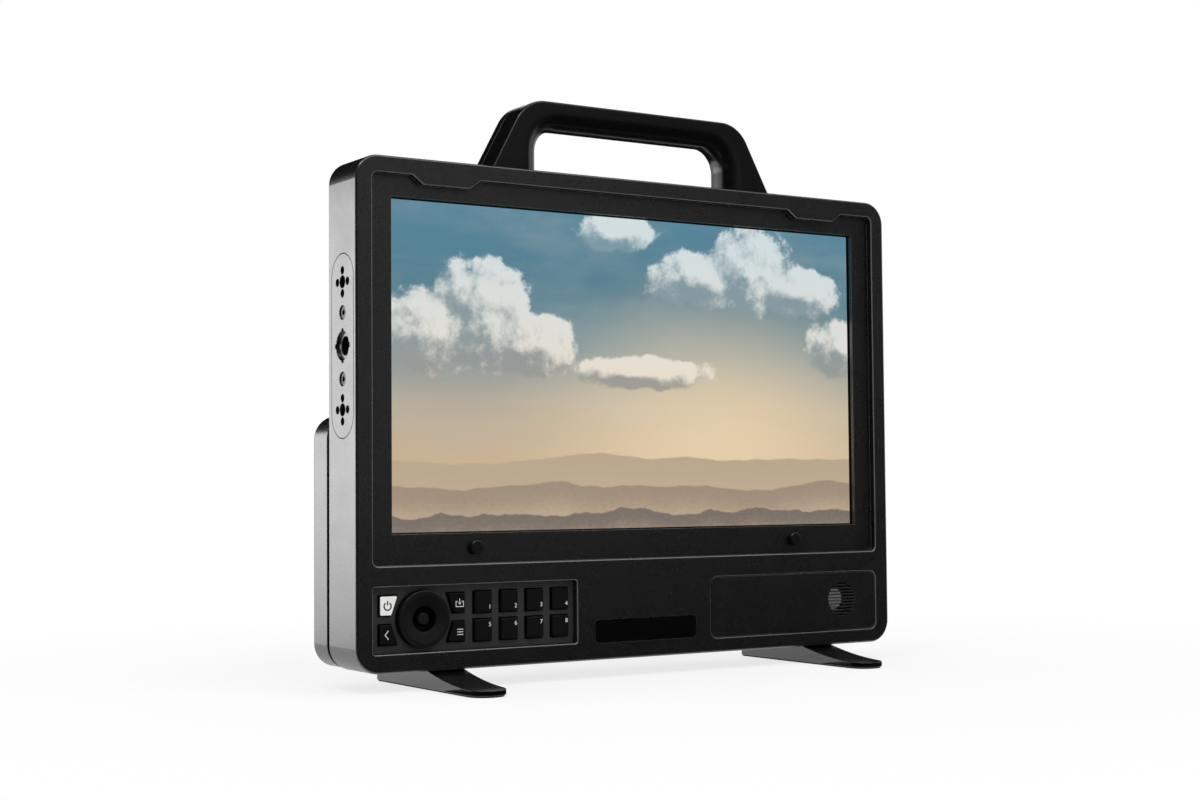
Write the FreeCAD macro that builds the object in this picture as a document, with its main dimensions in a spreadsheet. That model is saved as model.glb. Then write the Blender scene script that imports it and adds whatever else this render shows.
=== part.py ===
import FreeCAD, Part
import math
import os
import re
import Sketcher
from FreeCAD import Placement, Rotation, Vector

# A camera field monitor: a shallow metal housing round a flat screen, a row of
# keys and a control ring below it, a carrying handle on top and two bar feet.
# Millimetres. The front faces -Y, +X is to the viewer's right, +Z is up, and the
# origin lies on the floor in the middle of the feet.

# Driving dimensions: name, value, meaning
SIZES = [
    # Feet
    ("foot_length", 109.0, "length of a foot bar, front to back"),
    ("foot_reach", 46.0, "how far a foot reaches ahead of the housing's front face"),
    ("foot_width", 20.5, "width of a foot bar"),
    ("foot_height", 9.6, "floor to the underside of the housing"),
    ("foot_tip", 3.3, "height of a foot's front tip above the floor"),
    ("foot_shoulder", 4.2, "where the foot's hollow top ends behind the front face"),
    ("foot_rear_height", 6.4, "height of a foot's rear end above the floor"),
    ("foot_rear_corner", 4.0, "corner radius of a foot's rear end"),
    ("foot_spread", 118.3, "middle of a foot from the middle of the housing"),
    ("sole_thickness", 0.8, "thickness of the rubber sole"),
    ("sole_inset", 0.8, "how far the sole stays inside the foot's outline"),
    ("foot_screw_depth", 18.85, "first foot screw behind the front face"),
    ("foot_screw_pitch", 7.8, "spacing of the two screws of a foot"),
    ("foot_screw_sink", 4.6, "depth of the screw counterbore in a foot"),
    ("foot_block_width", 16.0, "width of the block that takes the foot screws"),
    ("foot_block_height", 6.0, "height of the block that takes the foot screws"),
    # Front housing
    ("casing_width", 337.6, "outside width of the front housing"),
    ("casing_height", 253.6, "outside height of the front housing"),
    ("casing_depth", 31.6, "outside depth of the front housing"),
    ("casing_corner", 12.5, "corner radius seen from the front"),
    ("casing_edge", 1.2, "rounding of the outer edges"),
    ("opening_edge", 0.7, "rounding of the openings in the front face"),
    ("wall", 4.0, "thickness of the housing's side walls"),
    ("front_plate", 6.0, "thickness of the housing's front plate"),
    ("cover_thickness", 2.5, "thickness of the back cover"),
    ("cover_gap", 0.2, "gap round the back cover"),
    ("boss_size", 10.0, "side of a boss for a cover screw"),
    ("boss_depth", 9.0, "depth of a boss for a cover screw"),
    ("boss_spread", 45.0, "inner cover bosses from the middle"),
    ("cover_screw_length", 8.0, "length of a cover screw"),
    ("vent_width", 3.0, "width of a vent slot in the back cover"),
    ("vent_height", 42.0, "height of a vent slot in the back cover"),
    ("vent_pitch", 7.0, "spacing of the vent slots"),
    ("vent_count", 31, "number of vent slots"),
    ("vent_raise", 205.0, "middle of the vent slots above the housing's underside"),
    ("cable_slot_width", 60.0, "width of the cable slot in the back cover"),
    ("cable_slot_height", 18.0, "height of the cable slot in the back cover"),
    ("cable_slot_raise", 62.0, "middle of the cable slot above the housing's underside"),
    # Screen
    ("screen_width", 294.0, "width of the picture"),
    ("screen_height", 165.4, "height of the picture"),
    ("screen_raise", 150.8, "middle of the picture above the housing's underside"),
    ("window_margin", 0.7, "window edge outside the picture"),
    ("recess_width", 319.4, "width of the recess for a screen guard"),
    ("recess_below", 98.8, "lower edge of the recess below the picture's middle"),
    ("recess_above", 94.4, "upper edge of the recess above the picture's middle"),
    ("recess_depth", 3.7, "depth of the recess"),
    ("recess_corner", 3.0, "corner radius of the recess"),
    ("tab_width", 26.2, "flat width of a tab at the recess's upper edge"),
    ("tab_slope", 6.3, "width of a tab's sloped side"),
    ("tab_drop", 4.6, "how far a tab reaches down into the recess"),
    ("tab_spread", 118.2, "middle of a tab from the middle of the housing"),
    ("stud_spread", 101.7, "middle of a guard stud from the middle of the housing"),
    ("stud_below", 90.6, "guard stud below the picture's middle"),
    ("stud_radius", 3.5, "radius of a guard stud"),
    ("stud_height", 3.4, "height of a guard stud above the recess floor"),
    ("stud_edge", 0.6, "rounding of a guard stud"),
    ("stem_radius", 1.6, "radius of a guard stud's stem"),
    ("stem_length", 2.1, "length of a guard stud's stem"),
    ("gasket_thickness", 0.5, "thickness of the glass gasket"),
    ("gasket_lap", 5.0, "width of the glass gasket"),
    ("glass_thickness", 1.5, "thickness of the cover glass"),
    ("glass_margin", 7.0, "cover glass edge outside the picture"),
    ("panel_thickness", 1.2, "thickness of the display panel"),
    ("panel_margin", 4.0, "display panel edge outside the picture"),
    ("tray_thickness", 7.0, "thickness of the backlight tray"),
    ("tray_margin", 6.0, "backlight tray edge outside the picture"),
    ("tray_corner", 3.0, "corner radius of the backlight tray"),
    ("bracket_length", 270.0, "length of a panel bracket"),
    ("bracket_sheet", 1.5, "sheet thickness of a panel bracket"),
    ("bracket_lap", 12.0, "how far a bracket reaches over the tray's back"),
    ("bracket_reach", 5.0, "how far the lower bracket's foot reaches below the recess"),
    ("bracket_gap", 0.4, "gap between a bracket and the glass edge or the housing"),
    # Keypad
    ("keypad_width", 116.5, "width of the keypad pocket"),
    ("keypad_height", 32.6, "height of the keypad pocket"),
    ("keypad_left", 101.45, "middle of the keypad to the left of the housing's middle"),
    ("keypad_raise", 25.7, "middle of the keypad above the housing's underside"),
    ("keypad_depth", 4.0, "depth of the keypad pocket"),
    ("keypad_corner", 1.2, "corner radius of the keypad pocket"),
    ("keypad_flange", 2.0, "thickness of the keypad panel's flange"),
    ("keypad_lap", 2.6, "width of the keypad panel's flange"),
    ("keypad_fit", 0.1, "gap round the keypad panel in its opening"),
    ("post_radius", 2.4, "radius of a post for the key board"),
    ("post_spread", 45.0, "post from the keypad's middle, sideways"),
    ("post_rise", 16.4, "post from the keypad's middle, up and down"),
    ("key_board_thickness", 1.6, "thickness of the key board"),
    ("key_proud", 1.7, "key front above the keypad face"),
    ("key_travel", 0.8, "travel of a key"),
    ("key_gap", 0.6, "gap round a key in the keypad panel"),
    ("key_seat", 0.1, "gap between a key's flange and the keypad panel"),
    ("key_flange", 1.0, "width and thickness of a key's flange"),
    ("key_corner", 0.9, "corner radius of a key"),
    ("key_edge", 0.35, "rounding of a key's front edge"),
    ("key_stem_radius", 2.0, "radius of a key's stem"),
    ("key_stem_length", 1.0, "length of a key's stem"),
    ("switch_size", 6.0, "side of a key switch"),
    ("switch_height", 2.0, "height of a key switch's body"),
    ("plunger_radius", 1.6, "radius of a key switch's plunger"),
    ("plunger_height", 0.5, "height of a key switch's plunger"),
    ("plunger_gap", 0.15, "gap left under a key that is pressed home"),
    ("key_width", 9.9, "width of a function key"),
    ("key_height", 10.6, "height of a function key"),
    ("key_pitch", 15.1, "spacing of the function keys along a row"),
    ("key_row_pitch", 14.0, "spacing of the two rows"),
    ("key_start", 34.1, "first column of function keys from the ring's middle"),
    ("corner_outer", 23.6, "outer edge of a corner key from the ring's middle"),
    ("corner_far", 13.8, "inner edge of a corner key at its far end"),
    ("corner_near", 17.3, "inner edge of a corner key at its near end"),
    ("corner_top", 11.9, "far end of a corner key from the ring's middle"),
    ("corner_low", 2.3, "near end of a corner key from the ring's middle"),
    # Control ring and joystick
    ("ring_inset", 28.2, "ring's middle from the keypad's left edge"),
    ("ring_radius", 14.0, "outside radius of the control ring"),
    ("ring_bore", 6.5, "radius of the hole in the control ring"),
    ("ring_rim", 2.2, "width of the ring's flat rim"),
    ("ring_dish", 0.8, "depth of the ring's dished face"),
    ("ring_edge", 0.5, "rounding of the ring's rim"),
    ("ring_sink", 1.0, "depth of the keypad's pocket for the ring"),
    ("ring_margin", 0.7, "gap round the ring in its pocket"),
    ("ring_float", 0.3, "gap between the ring and its pocket's floor"),
    ("sleeve_radius", 8.9, "outside radius of the ring's sleeve"),
    ("sleeve_lip", 0.5, "height of the lip that holds the sleeve"),
    ("sleeve_lip_length", 0.8, "length of the lip that holds the sleeve"),
    ("encoder_radius", 12.0, "outside radius of the encoder body"),
    ("encoder_step", 2.0, "depth of the encoder's step for the sleeve's lip"),
    ("running_gap", 0.1, "radial clearance of a turning or sliding fit"),
    ("stick_base_radius", 6.1, "outside radius of the joystick's base"),
    ("stick_base_wall", 0.7, "wall of the joystick's base"),
    ("stick_base_floor", 1.0, "floor of the joystick's base"),
    ("stick_base_height", 6.0, "height of the joystick's base"),
    ("carrier_wall", 1.0, "wall of the joystick's carrier"),
    ("carrier_height", 3.4, "height of the joystick's carrier"),
    ("stick_press", 0.5, "press travel of the joystick"),
    ("gimbal_radius", 3.9, "outside radius of the gimbal ring"),
    ("gimbal_bore", 2.5, "radius of the hole in the gimbal ring"),
    ("gimbal_height", 1.7, "height of the gimbal ring"),
    ("gimbal_pin", 0.5, "radius of a gimbal pin"),
    ("stick_radius", 1.3, "radius of the joystick's stick"),
    ("stick_tail", 1.2, "stick behind its pivot"),
    ("cap_radius", 3.1, "radius of the joystick's cap"),
    ("cap_height", 2.4, "height of the joystick's cap"),
    ("cap_edge", 1.1, "rounding of the joystick's cap"),
    ("cap_sink", 1.4, "cap front behind the housing's front face"),
    # Name plaque, left bare
    ("plaque_width", 64.6, "width of the plaque"),
    ("plaque_height", 12.1, "height of the plaque"),
    ("plaque_raise", 14.85, "middle of the plaque above the housing's underside"),
    ("plaque_thickness", 1.1, "thickness of the plaque"),
    ("plaque_sink", 0.8, "depth of the plaque's pocket"),
    ("plaque_corner", 2.0, "corner radius of the plaque"),
    # Loudspeaker
    ("speaker_width", 116.9, "width of the loudspeaker cover"),
    ("speaker_height", 33.0, "height of the loudspeaker cover"),
    ("speaker_right", 100.75, "middle of the loudspeaker cover to the right of the middle"),
    ("speaker_raise", 24.3, "middle of the loudspeaker cover above the underside"),
    ("speaker_cover_depth", 2.5, "thickness of the loudspeaker cover"),
    ("speaker_corner", 4.0, "corner radius of the loudspeaker cover"),
    ("speaker_seam", 0.35, "seam round the loudspeaker cover"),
    ("grille_inset", 25.0, "grille's middle from the cover's right edge"),
    ("grille_rise", 1.1, "grille's middle above the cover's middle"),
    ("grille_radius", 10.0, "radius of the grille"),
    ("slit_height", 1.2, "height of a grille slit"),
    ("slit_pitch", 1.75, "spacing of the grille slits"),
    ("speaker_hole", 11.0, "radius of the hole behind the grille"),
    ("driver_flange", 14.0, "radius of the loudspeaker driver's flange"),
    ("driver_flange_depth", 2.0, "thickness of the driver's flange"),
    ("basket_radius", 11.5, "radius of the driver's basket"),
    ("basket_depth", 7.0, "depth of the driver's basket"),
    ("magnet_radius", 8.0, "radius of the driver's magnet"),
    ("magnet_depth", 5.0, "depth of the driver's magnet"),
    ("cone_edge", 0.4, "gap round the driver's cone"),
    ("cone_sheet", 0.8, "thickness of the driver's cone"),
    ("dome_radius", 4.7, "radius of the driver's dome"),
    ("dome_height", 2.2, "height of the driver's dome"),
    # Side mounting plates
    ("pill_width", 24.7, "width of a side mounting plate"),
    ("pill_length", 90.9, "length of a side mounting plate"),
    ("pill_thickness", 8.0, "thickness of a side mounting plate"),
    ("pill_back", 15.05, "middle of a side plate behind the housing's front face"),
    ("pill_raise", 160.15, "middle of a side plate above the housing's underside"),
    ("pill_fit", 0.3, "seam round a side plate"),
    ("pill_block", 8.0, "depth of the block inside the wall behind a side plate"),
    ("pill_block_margin", 5.0, "block past the ends of a side plate"),
    ("quarter_radius", 3.175, "radius of a quarter-inch mounting hole"),
    ("quarter_spread", 31.5, "quarter-inch hole from the plate's middle"),
    ("pin_hole_radius", 2.0, "radius of an anti-twist pin hole"),
    ("pin_hole_offset", 5.7, "anti-twist pin hole from its mounting hole"),
    ("pin_hole_depth", 4.0, "depth of an anti-twist pin hole"),
    ("large_radius", 4.7625, "radius of the three-eighths mounting hole"),
    ("rosette_radius", 7.3, "radius of the notched pocket"),
    ("rosette_depth", 1.6, "depth of the notched pocket"),
    ("notch_radius", 1.3, "radius of a notch"),
    ("notch_offset", 7.3, "notch from the pocket's middle"),
    ("plate_screw_spread", 16.4, "plate screw from the plate's middle"),
    ("plate_screw_sink", 0.6, "plate screw's head below the plate's face"),
    # Handle
    ("handle_depth", 22.0, "depth of the handle, front to back"),
    ("handle_setback", 5.0, "handle's front behind the housing's front face"),
    ("handle_split", 15.5, "depth of the handle's front shell"),
    ("handle_base", 178.6, "width of the handle where it meets the housing"),
    ("handle_lean", 20.7, "how far each side leans in from base to top"),
    ("handle_height", 37.9, "height of the handle"),
    ("handle_shoulder", 19.5, "outer radius of the handle's shoulders"),
    ("grip_width", 120.5, "width of the finger gap"),
    ("grip_height", 23.8, "height of the finger gap"),
    ("grip_corner", 12.5, "corner radius of the finger gap"),
    ("grip_round", 9.9, "rounding of the handle's inner edges"),
    ("handle_edge", 1.2, "rounding of the handle's outer edges"),
    ("bolt_inner", 66.5, "inner handle bolt from the middle"),
    ("bolt_outer", 80.0, "outer handle bolt from the middle"),
    ("bolt_length", 12.0, "length of a handle bolt below its head"),
    ("shell_screw_x", 73.2, "lower shell screw from the middle"),
    ("shell_screw_z", 12.0, "lower shell screw above the housing"),
    # Rear box
    ("waist", 1.8, "shadow gap between the housing and the rear box"),
    ("waist_inset", 2.6, "how far the spacer stands inside the rear box"),
    ("spacer_width", 11.0, "width of the spacer ring"),
    ("rear_depth", 17.0, "depth of the rear box"),
    ("rear_height", 126.2, "height of the rear box"),
    ("rear_lift", 0.6, "underside of the rear box above the housing's underside"),
    ("rear_corner", 12.0, "corner radius of the rear box"),
    ("rear_edge", 2.0, "rounding of the rear box's back edge"),
    ("rear_wall", 3.0, "wall of the rear box"),
    ("rear_post_radius", 4.6, "radius of a screw post in the rear box"),
    ("rear_post_inset", 9.0, "screw post from the rear box's left and right sides"),
    ("rear_post_rise", 24.0, "screw post from the rear box's underside and top"),
    ("rear_screw_sink", 2.4, "depth of the counterbore for a rear screw"),
    ("rear_screw_length", 18.0, "length of a rear screw below its head"),
    # Fans
    ("fan_size", 50.0, "side of a fan frame"),
    ("fan_depth", 10.0, "depth of a fan frame"),
    ("fan_spread", 112.0, "fan from the middle of the housing"),
    ("fan_raise", 86.0, "fan above the rear box's underside"),
    ("fan_bore", 23.0, "radius of a fan's opening"),
    ("fan_corner", 4.0, "corner radius of a fan frame"),
    ("fan_tip_gap", 0.8, "gap between the blades and the fan frame"),
    ("fan_motor", 8.5, "radius of a fan's motor plate"),
    ("fan_strut", 3.0, "width of a fan's strut"),
    ("fan_plate", 2.0, "thickness of a fan's motor plate"),
    ("fan_shaft", 1.5, "radius of a fan's shaft"),
    ("rotor_lift", 0.3, "gap between a rotor and its motor plate"),
    ("rotor_height", 6.6, "height of a rotor"),
    ("blade_thickness", 1.2, "thickness of a blade"),
    ("blade_chord", 7.0, "width of a blade"),
    ("blade_root", 1.7, "how far a blade reaches into the hub"),
    ("blade_pitch", 38.0, "pitch angle of a blade"),
    ("blade_count", 7, "number of blades"),
    ("vent_slit", 2.6, "height of a slit in a fan vent"),
    ("vent_slit_pitch", 5.2, "spacing of the slits in a fan vent"),
    # Connectors
    ("port_raise", 24.5, "connectors above the rear box's underside"),
    ("io_board_thickness", 1.6, "thickness of the connector board"),
    ("io_board_gap", 2.5, "connector board behind the rear box's front plane"),
    ("io_board_height", 26.0, "height of the connector board"),
    ("bnc_first", 140.0, "outer video connector to the left of the middle"),
    ("bnc_pitch", 24.0, "spacing of the video connectors"),
    ("bnc_radius", 4.8, "radius of a video connector's barrel"),
    ("bnc_flange", 7.4, "radius of a video connector's nut"),
    ("bnc_nut", 2.2, "thickness of a video connector's nut"),
    ("bnc_length", 10.5, "video connector outside the rear box"),
    ("bnc_bore", 3.6, "inside radius of a video connector"),
    ("bnc_bore_depth", 8.0, "depth of a video connector's socket"),
    ("bnc_contact", 0.7, "radius of the centre contact"),
    ("bnc_lug", 1.0, "radius of a bayonet lug"),
    ("bnc_lug_rise", 0.9, "height of a bayonet lug"),
    ("bnc_lug_back", 3.3, "bayonet lug behind the connector's mouth"),
    ("inlet_x", 122.0, "power inlet to the right of the middle"),
    ("inlet_flange_width", 26.0, "width of the power inlet's flange"),
    ("inlet_flange_height", 31.0, "height of the power inlet's flange"),
    ("inlet_flange_depth", 2.0, "thickness of the power inlet's flange"),
    ("inlet_flange_corner", 3.0, "corner radius of the power inlet's flange"),
    ("inlet_radius", 11.6, "radius of the power inlet's body"),
    ("inlet_socket", 9.0, "radius of the power inlet's socket"),
    ("inlet_socket_depth", 11.0, "depth of the power inlet's socket"),
    ("inlet_pin", 1.15, "radius of a power pin"),
    ("inlet_pin_circle", 5.6, "power pin from the inlet's middle"),
    ("inlet_pin_length", 8.5, "length of a power pin"),
    ("port_fit", 0.1, "gap round a connector in the rear wall"),
    # Battery plate
    ("battery_width", 88.0, "width of the battery plate"),
    ("battery_height", 98.0, "height of the battery plate"),
    ("battery_depth", 11.0, "depth of the battery plate"),
    ("battery_corner", 5.0, "corner radius of the battery plate"),
    ("battery_edge", 1.0, "rounding of the battery plate's back edge"),
    ("battery_raise", 64.0, "middle of the battery plate above the rear box's underside"),
    ("wedge_top", 40.0, "width of the wedge slot at its mouth"),
    ("wedge_bottom", 30.0, "width of the wedge slot at its foot"),
    ("wedge_length", 62.0, "length of the wedge slot"),
    ("wedge_depth", 6.0, "depth of the wedge slot"),
    ("contact_width", 26.0, "width of the contact block"),
    ("contact_height", 9.0, "height of the contact block"),
    ("contact_depth", 5.0, "depth of the contact block"),
    ("contact_drop", 34.0, "contact block below the battery plate's middle"),
    ("contact_blade", 1.4, "thickness of a contact blade"),
    ("contact_blade_length", 1.2, "contact blade outside its block"),
    ("contact_pitch", 6.0, "spacing of the contact blades"),
    ("battery_screw_x", 38.0, "battery plate screw from the plate's middle, sideways"),
    ("battery_screw_z", 43.0, "battery plate screw from the plate's middle, up and down"),
    ("battery_screw_sink", 5.0, "depth of the screw counterbore in the battery plate"),
    ("release_length", 16.0, "length of the release tab"),
    ("release_height", 15.0, "height of the release tab"),
    ("release_depth", 5.0, "depth of the release tab"),
    ("release_proud", 4.6, "release tab outside the battery plate's side"),
    ("release_travel", 4.0, "travel of the release tab"),
    ("release_back", 3.0, "release tab behind the rear wall's outer face"),
    ("release_gap", 0.3, "gap round the release tab"),
    # Electronics
    ("standoff_radius", 3.2, "radius of a standoff for the main board"),
    ("standoff_height", 4.0, "height of a standoff for the main board"),
    ("board_width", 190.0, "width of the main board"),
    ("board_height", 116.0, "height of the main board"),
    ("board_thickness", 1.6, "thickness of the main board"),
    ("board_screw_inset", 6.0, "main board screw from the board's edges"),
    ("sink_width", 96.0, "width of the heat sink"),
    ("sink_height", 70.0, "height of the heat sink"),
    ("sink_base", 1.6, "thickness of the heat sink's base"),
    ("fin_height", 3.6, "height of a heat sink fin"),
    ("fin_thickness", 1.6, "thickness of a heat sink fin"),
    ("fin_count", 13, "number of heat sink fins"),
    # Screws: three thread sizes
    ("thread_gap", 0.06, "radial gap of a screw in its hole"),
    ("small_radius", 1.5, "thread radius of a small screw"),
    ("small_head", 2.75, "head radius of a small screw"),
    ("small_head_height", 1.6, "head height of a small screw"),
    ("small_socket", 1.1, "socket radius of a small screw"),
    ("small_length", 5.0, "length of a small inner screw below its head"),
    ("middle_radius", 2.0, "thread radius of a middle screw"),
    ("middle_head", 3.5, "head radius of a middle screw"),
    ("middle_head_height", 2.2, "head height of a middle screw"),
    ("middle_socket", 1.45, "socket radius of a middle screw"),
    ("middle_length", 12.0, "length of a middle cap screw below its head"),
    ("flat_length", 10.0, "length of a middle flat screw"),
    ("large_screw_radius", 2.5, "thread radius of a handle bolt"),
    ("large_screw_head", 4.25, "head radius of a handle bolt"),
    ("large_screw_head_height", 4.0, "head height of a handle bolt"),
    ("large_screw_socket", 2.3, "socket radius of a handle bolt"),
    ("hole_end", 0.4, "room past the end of a screw"),
    ("socket_floor", 0.45, "floor of a screw's socket as a share of its head height"),
]

# Planes and centres worked out from the driving dimensions
PLACES = {
    "front_y": "foot_reach - foot_length / 2",
    "plate_back": "front_y + front_plate",
    "casing_back": "front_y + casing_depth",
    "casing_bottom": "foot_height",
    "casing_top": "foot_height + casing_height",
    "casing_half": "casing_width / 2",
    "inner_half": "casing_width / 2 - wall",
    "inner_bottom": "casing_bottom + wall",
    "inner_top": "casing_top - wall",
    "cover_front": "casing_back - cover_thickness",
    "boss_low": "inner_bottom + boss_size / 2",
    "boss_high": "inner_top - boss_size / 2",
    "boss_side": "inner_half - boss_size / 2",
    "screen_z": "casing_bottom + screen_raise",
    "recess_floor": "front_y + recess_depth",
    "recess_low": "screen_z - recess_below",
    "recess_high": "screen_z + recess_above",
    "stud_z": "screen_z - stud_below",
    "glass_front": "plate_back + gasket_thickness",
    "glass_half": "screen_width / 2 + glass_margin",
    "glass_low": "screen_z - screen_height / 2 - glass_margin",
    "glass_high": "screen_z + screen_height / 2 + glass_margin",
    "panel_front": "glass_front + glass_thickness",
    "tray_front": "panel_front + panel_thickness",
    "tray_back": "tray_front + tray_thickness",
    "bracket_end_low": "recess_low - bracket_reach",
    "bracket_end_high": "inner_top - bracket_gap",
    "bracket_screw_low": "recess_low - bracket_reach / 2",
    "bracket_screw_high": "(glass_high + bracket_gap + bracket_sheet + bracket_end_high) / 2",
    "keypad_x": "0 - keypad_left",
    "keypad_z": "casing_bottom + keypad_raise",
    "keypad_face": "front_y + keypad_depth",
    "keypad_back": "plate_back + keypad_flange",
    "key_front": "keypad_face - key_proud",
    "ring_floor": "keypad_face + ring_sink",
    "key_flange_front": "keypad_back + key_seat",
    "key_stem_front": "key_flange_front + key_flange",
    "key_stem_end": "key_stem_front + key_stem_length",
    "plunger_front": "key_stem_end + key_travel + plunger_gap",
    "switch_front": "plunger_front + plunger_height",
    "key_board_front": "switch_front + switch_height",
    "key_board_back": "key_board_front + key_board_thickness",
    "ring_x": "keypad_x - keypad_width / 2 + ring_inset",
    "sleeve_end": "key_board_front - ring_float - sleeve_lip_length / 2",
    "encoder_front": "keypad_back + ring_float",
    "encoder_shelf": "key_board_front - encoder_step",
    "stick_cup_radius": "stick_base_radius - stick_base_wall",
    "stick_base_front": "key_board_front - stick_base_height",
    "carrier_radius": "stick_cup_radius - running_gap",
    "carrier_back": "key_board_front - stick_base_floor - stick_press - plunger_gap",
    "carrier_front": "carrier_back - carrier_height",
    "pivot_y": "carrier_front + carrier_height / 2",
    "cap_front": "front_y + cap_sink",
    "plaque_z": "casing_bottom + plaque_raise",
    "speaker_z": "casing_bottom + speaker_raise",
    "speaker_back": "front_y + speaker_cover_depth",
    "grille_x": "speaker_right + speaker_width / 2 - grille_inset",
    "grille_z": "speaker_z + grille_rise",
    "basket_back": "plate_back + basket_depth",
    "pill_y": "front_y + pill_back",
    "pill_z": "casing_bottom + pill_raise",
    "pill_inner": "casing_half - pill_thickness",
    "plate_screw_face": "casing_half - plate_screw_sink",
    "block_inner": "inner_half - pill_block",
    "pill_end": "pill_length / 2 - pill_width / 2",
    "foot_screw_y": "front_y + foot_screw_depth",
    "foot_block_front": "key_board_back + cover_thickness / 2",
    "foot_block_top": "inner_bottom + foot_block_height",
    "foot_screw_seat": "foot_screw_sink",
    "handle_front_y": "front_y + handle_setback",
    "handle_split_y": "handle_front_y + handle_split",
    "handle_back_y": "handle_front_y + handle_depth",
    "handle_top": "casing_top + handle_height",
    "bolt_y": "handle_front_y + handle_split / 2",
    "shell_screw_low": "casing_top + shell_screw_z",
    "rear_front": "casing_back + waist",
    "rear_back": "rear_front + rear_depth",
    "rear_inner": "rear_back - rear_wall",
    "rear_bottom": "casing_bottom + rear_lift",
    "rear_top": "rear_bottom + rear_height",
    "rear_post_x": "casing_half - rear_post_inset",
    "rear_post_low": "rear_bottom + rear_post_rise",
    "rear_post_high": "rear_top - rear_post_rise",
    "rear_screw_seat": "rear_back - rear_screw_sink",
    "fan_z": "rear_bottom + fan_raise",
    "fan_front": "rear_inner - fan_depth",
    "rotor_front": "fan_front + fan_plate + rotor_lift",
    "rotor_back": "rotor_front + rotor_height",
    "rotor_hub": "fan_motor",
    "port_z": "rear_bottom + port_raise",
    "io_board_front": "rear_front + io_board_gap",
    "io_board_back": "io_board_front + io_board_thickness",
    "battery_z": "rear_bottom + battery_raise",
    "battery_back": "rear_back + battery_depth",
    "battery_floor": "battery_back - wedge_depth",
    "battery_screw_seat": "battery_back - battery_screw_sink",
    "contact_z": "battery_z - contact_drop",
    "release_y": "rear_back + release_back",
    "release_x": "battery_width / 2 + release_proud",
    "board_front": "tray_back + standoff_height",
    "board_back": "board_front + board_thickness",
    "board_screw_x": "board_width / 2 - board_screw_inset",
    "board_screw_z": "board_height / 2 - board_screw_inset",
    "small_hole": "small_radius + thread_gap",
    "middle_hole": "middle_radius + thread_gap",
    "large_hole": "large_screw_radius + thread_gap",
}

SIZE_NAMES = {name for name, size, meaning in SIZES}
NAME = re.compile(r"[a-z][a-z_]*")
AXES = {"x": Vector(1, 0, 0), "y": Vector(0, 1, 0), "z": Vector(0, 0, 1)}
SIDES = (("left", -1), ("right", 1))
NEAR = 1e-4

doc = FreeCAD.newDocument("field_monitor")
sheet = doc.addObject("Spreadsheet::Sheet", "Sizes")
for row, (name, size, meaning) in enumerate(SIZES, start=1):
    sheet.set(f"A{row}", name)
    sheet.set(f"B{row}", str(size))
    sheet.setAlias(f"B{row}", name)
    sheet.set(f"C{row}", meaning)
doc.recompute()

nodes = []


def formula(text):
    """Write a formula in size and place names as an expression on the sheet."""
    def expand(match):
        word = match.group(0)
        if word in PLACES:
            return "(" + formula(PLACES[word]) + ")"
        return "Sizes." + word if word in SIZE_NAMES else word
    return NAME.sub(expand, str(text))


def value(text):
    """The present value of a formula, in millimetres."""
    return float(sheet.evalExpression(formula(text)))


def bind(item, prop, text):
    """Bind a property of an object to a formula."""
    item.setExpression(prop, formula(text))


def about(middle, size):
    """The span of a size laid evenly about a middle."""
    return f"({middle}) - ({size}) / 2", f"({middle}) + ({size}) / 2"


def signed(sign, text):
    """A formula with a sign in front."""
    return f"{sign} * ({text})"


def mirrored(sign, low, high):
    """A span on the right side, or its mirror image on the left."""
    if sign > 0:
        return low, high
    return signed(-1, high), signed(-1, low)


def place(item, at):
    """Bind the three coordinates of an object's placement."""
    for axis, text in zip("xyz", at):
        bind(item, f"Placement.Base.{axis}", text)


def extent(edge, axis):
    """The lowest and highest coordinate of an edge along an axis."""
    ends = edge.BoundBox
    return getattr(ends, axis.upper() + "Min"), getattr(ends, axis.upper() + "Max")


def lies_within(edge, spans):
    """Whether an edge stays inside a box of spans, given by axis."""
    for axis, (low, high) in spans.items():
        first, last = extent(edge, axis)
        if first < value(low) - NEAR or last > value(high) + NEAR:
            return False
    return True


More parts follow.
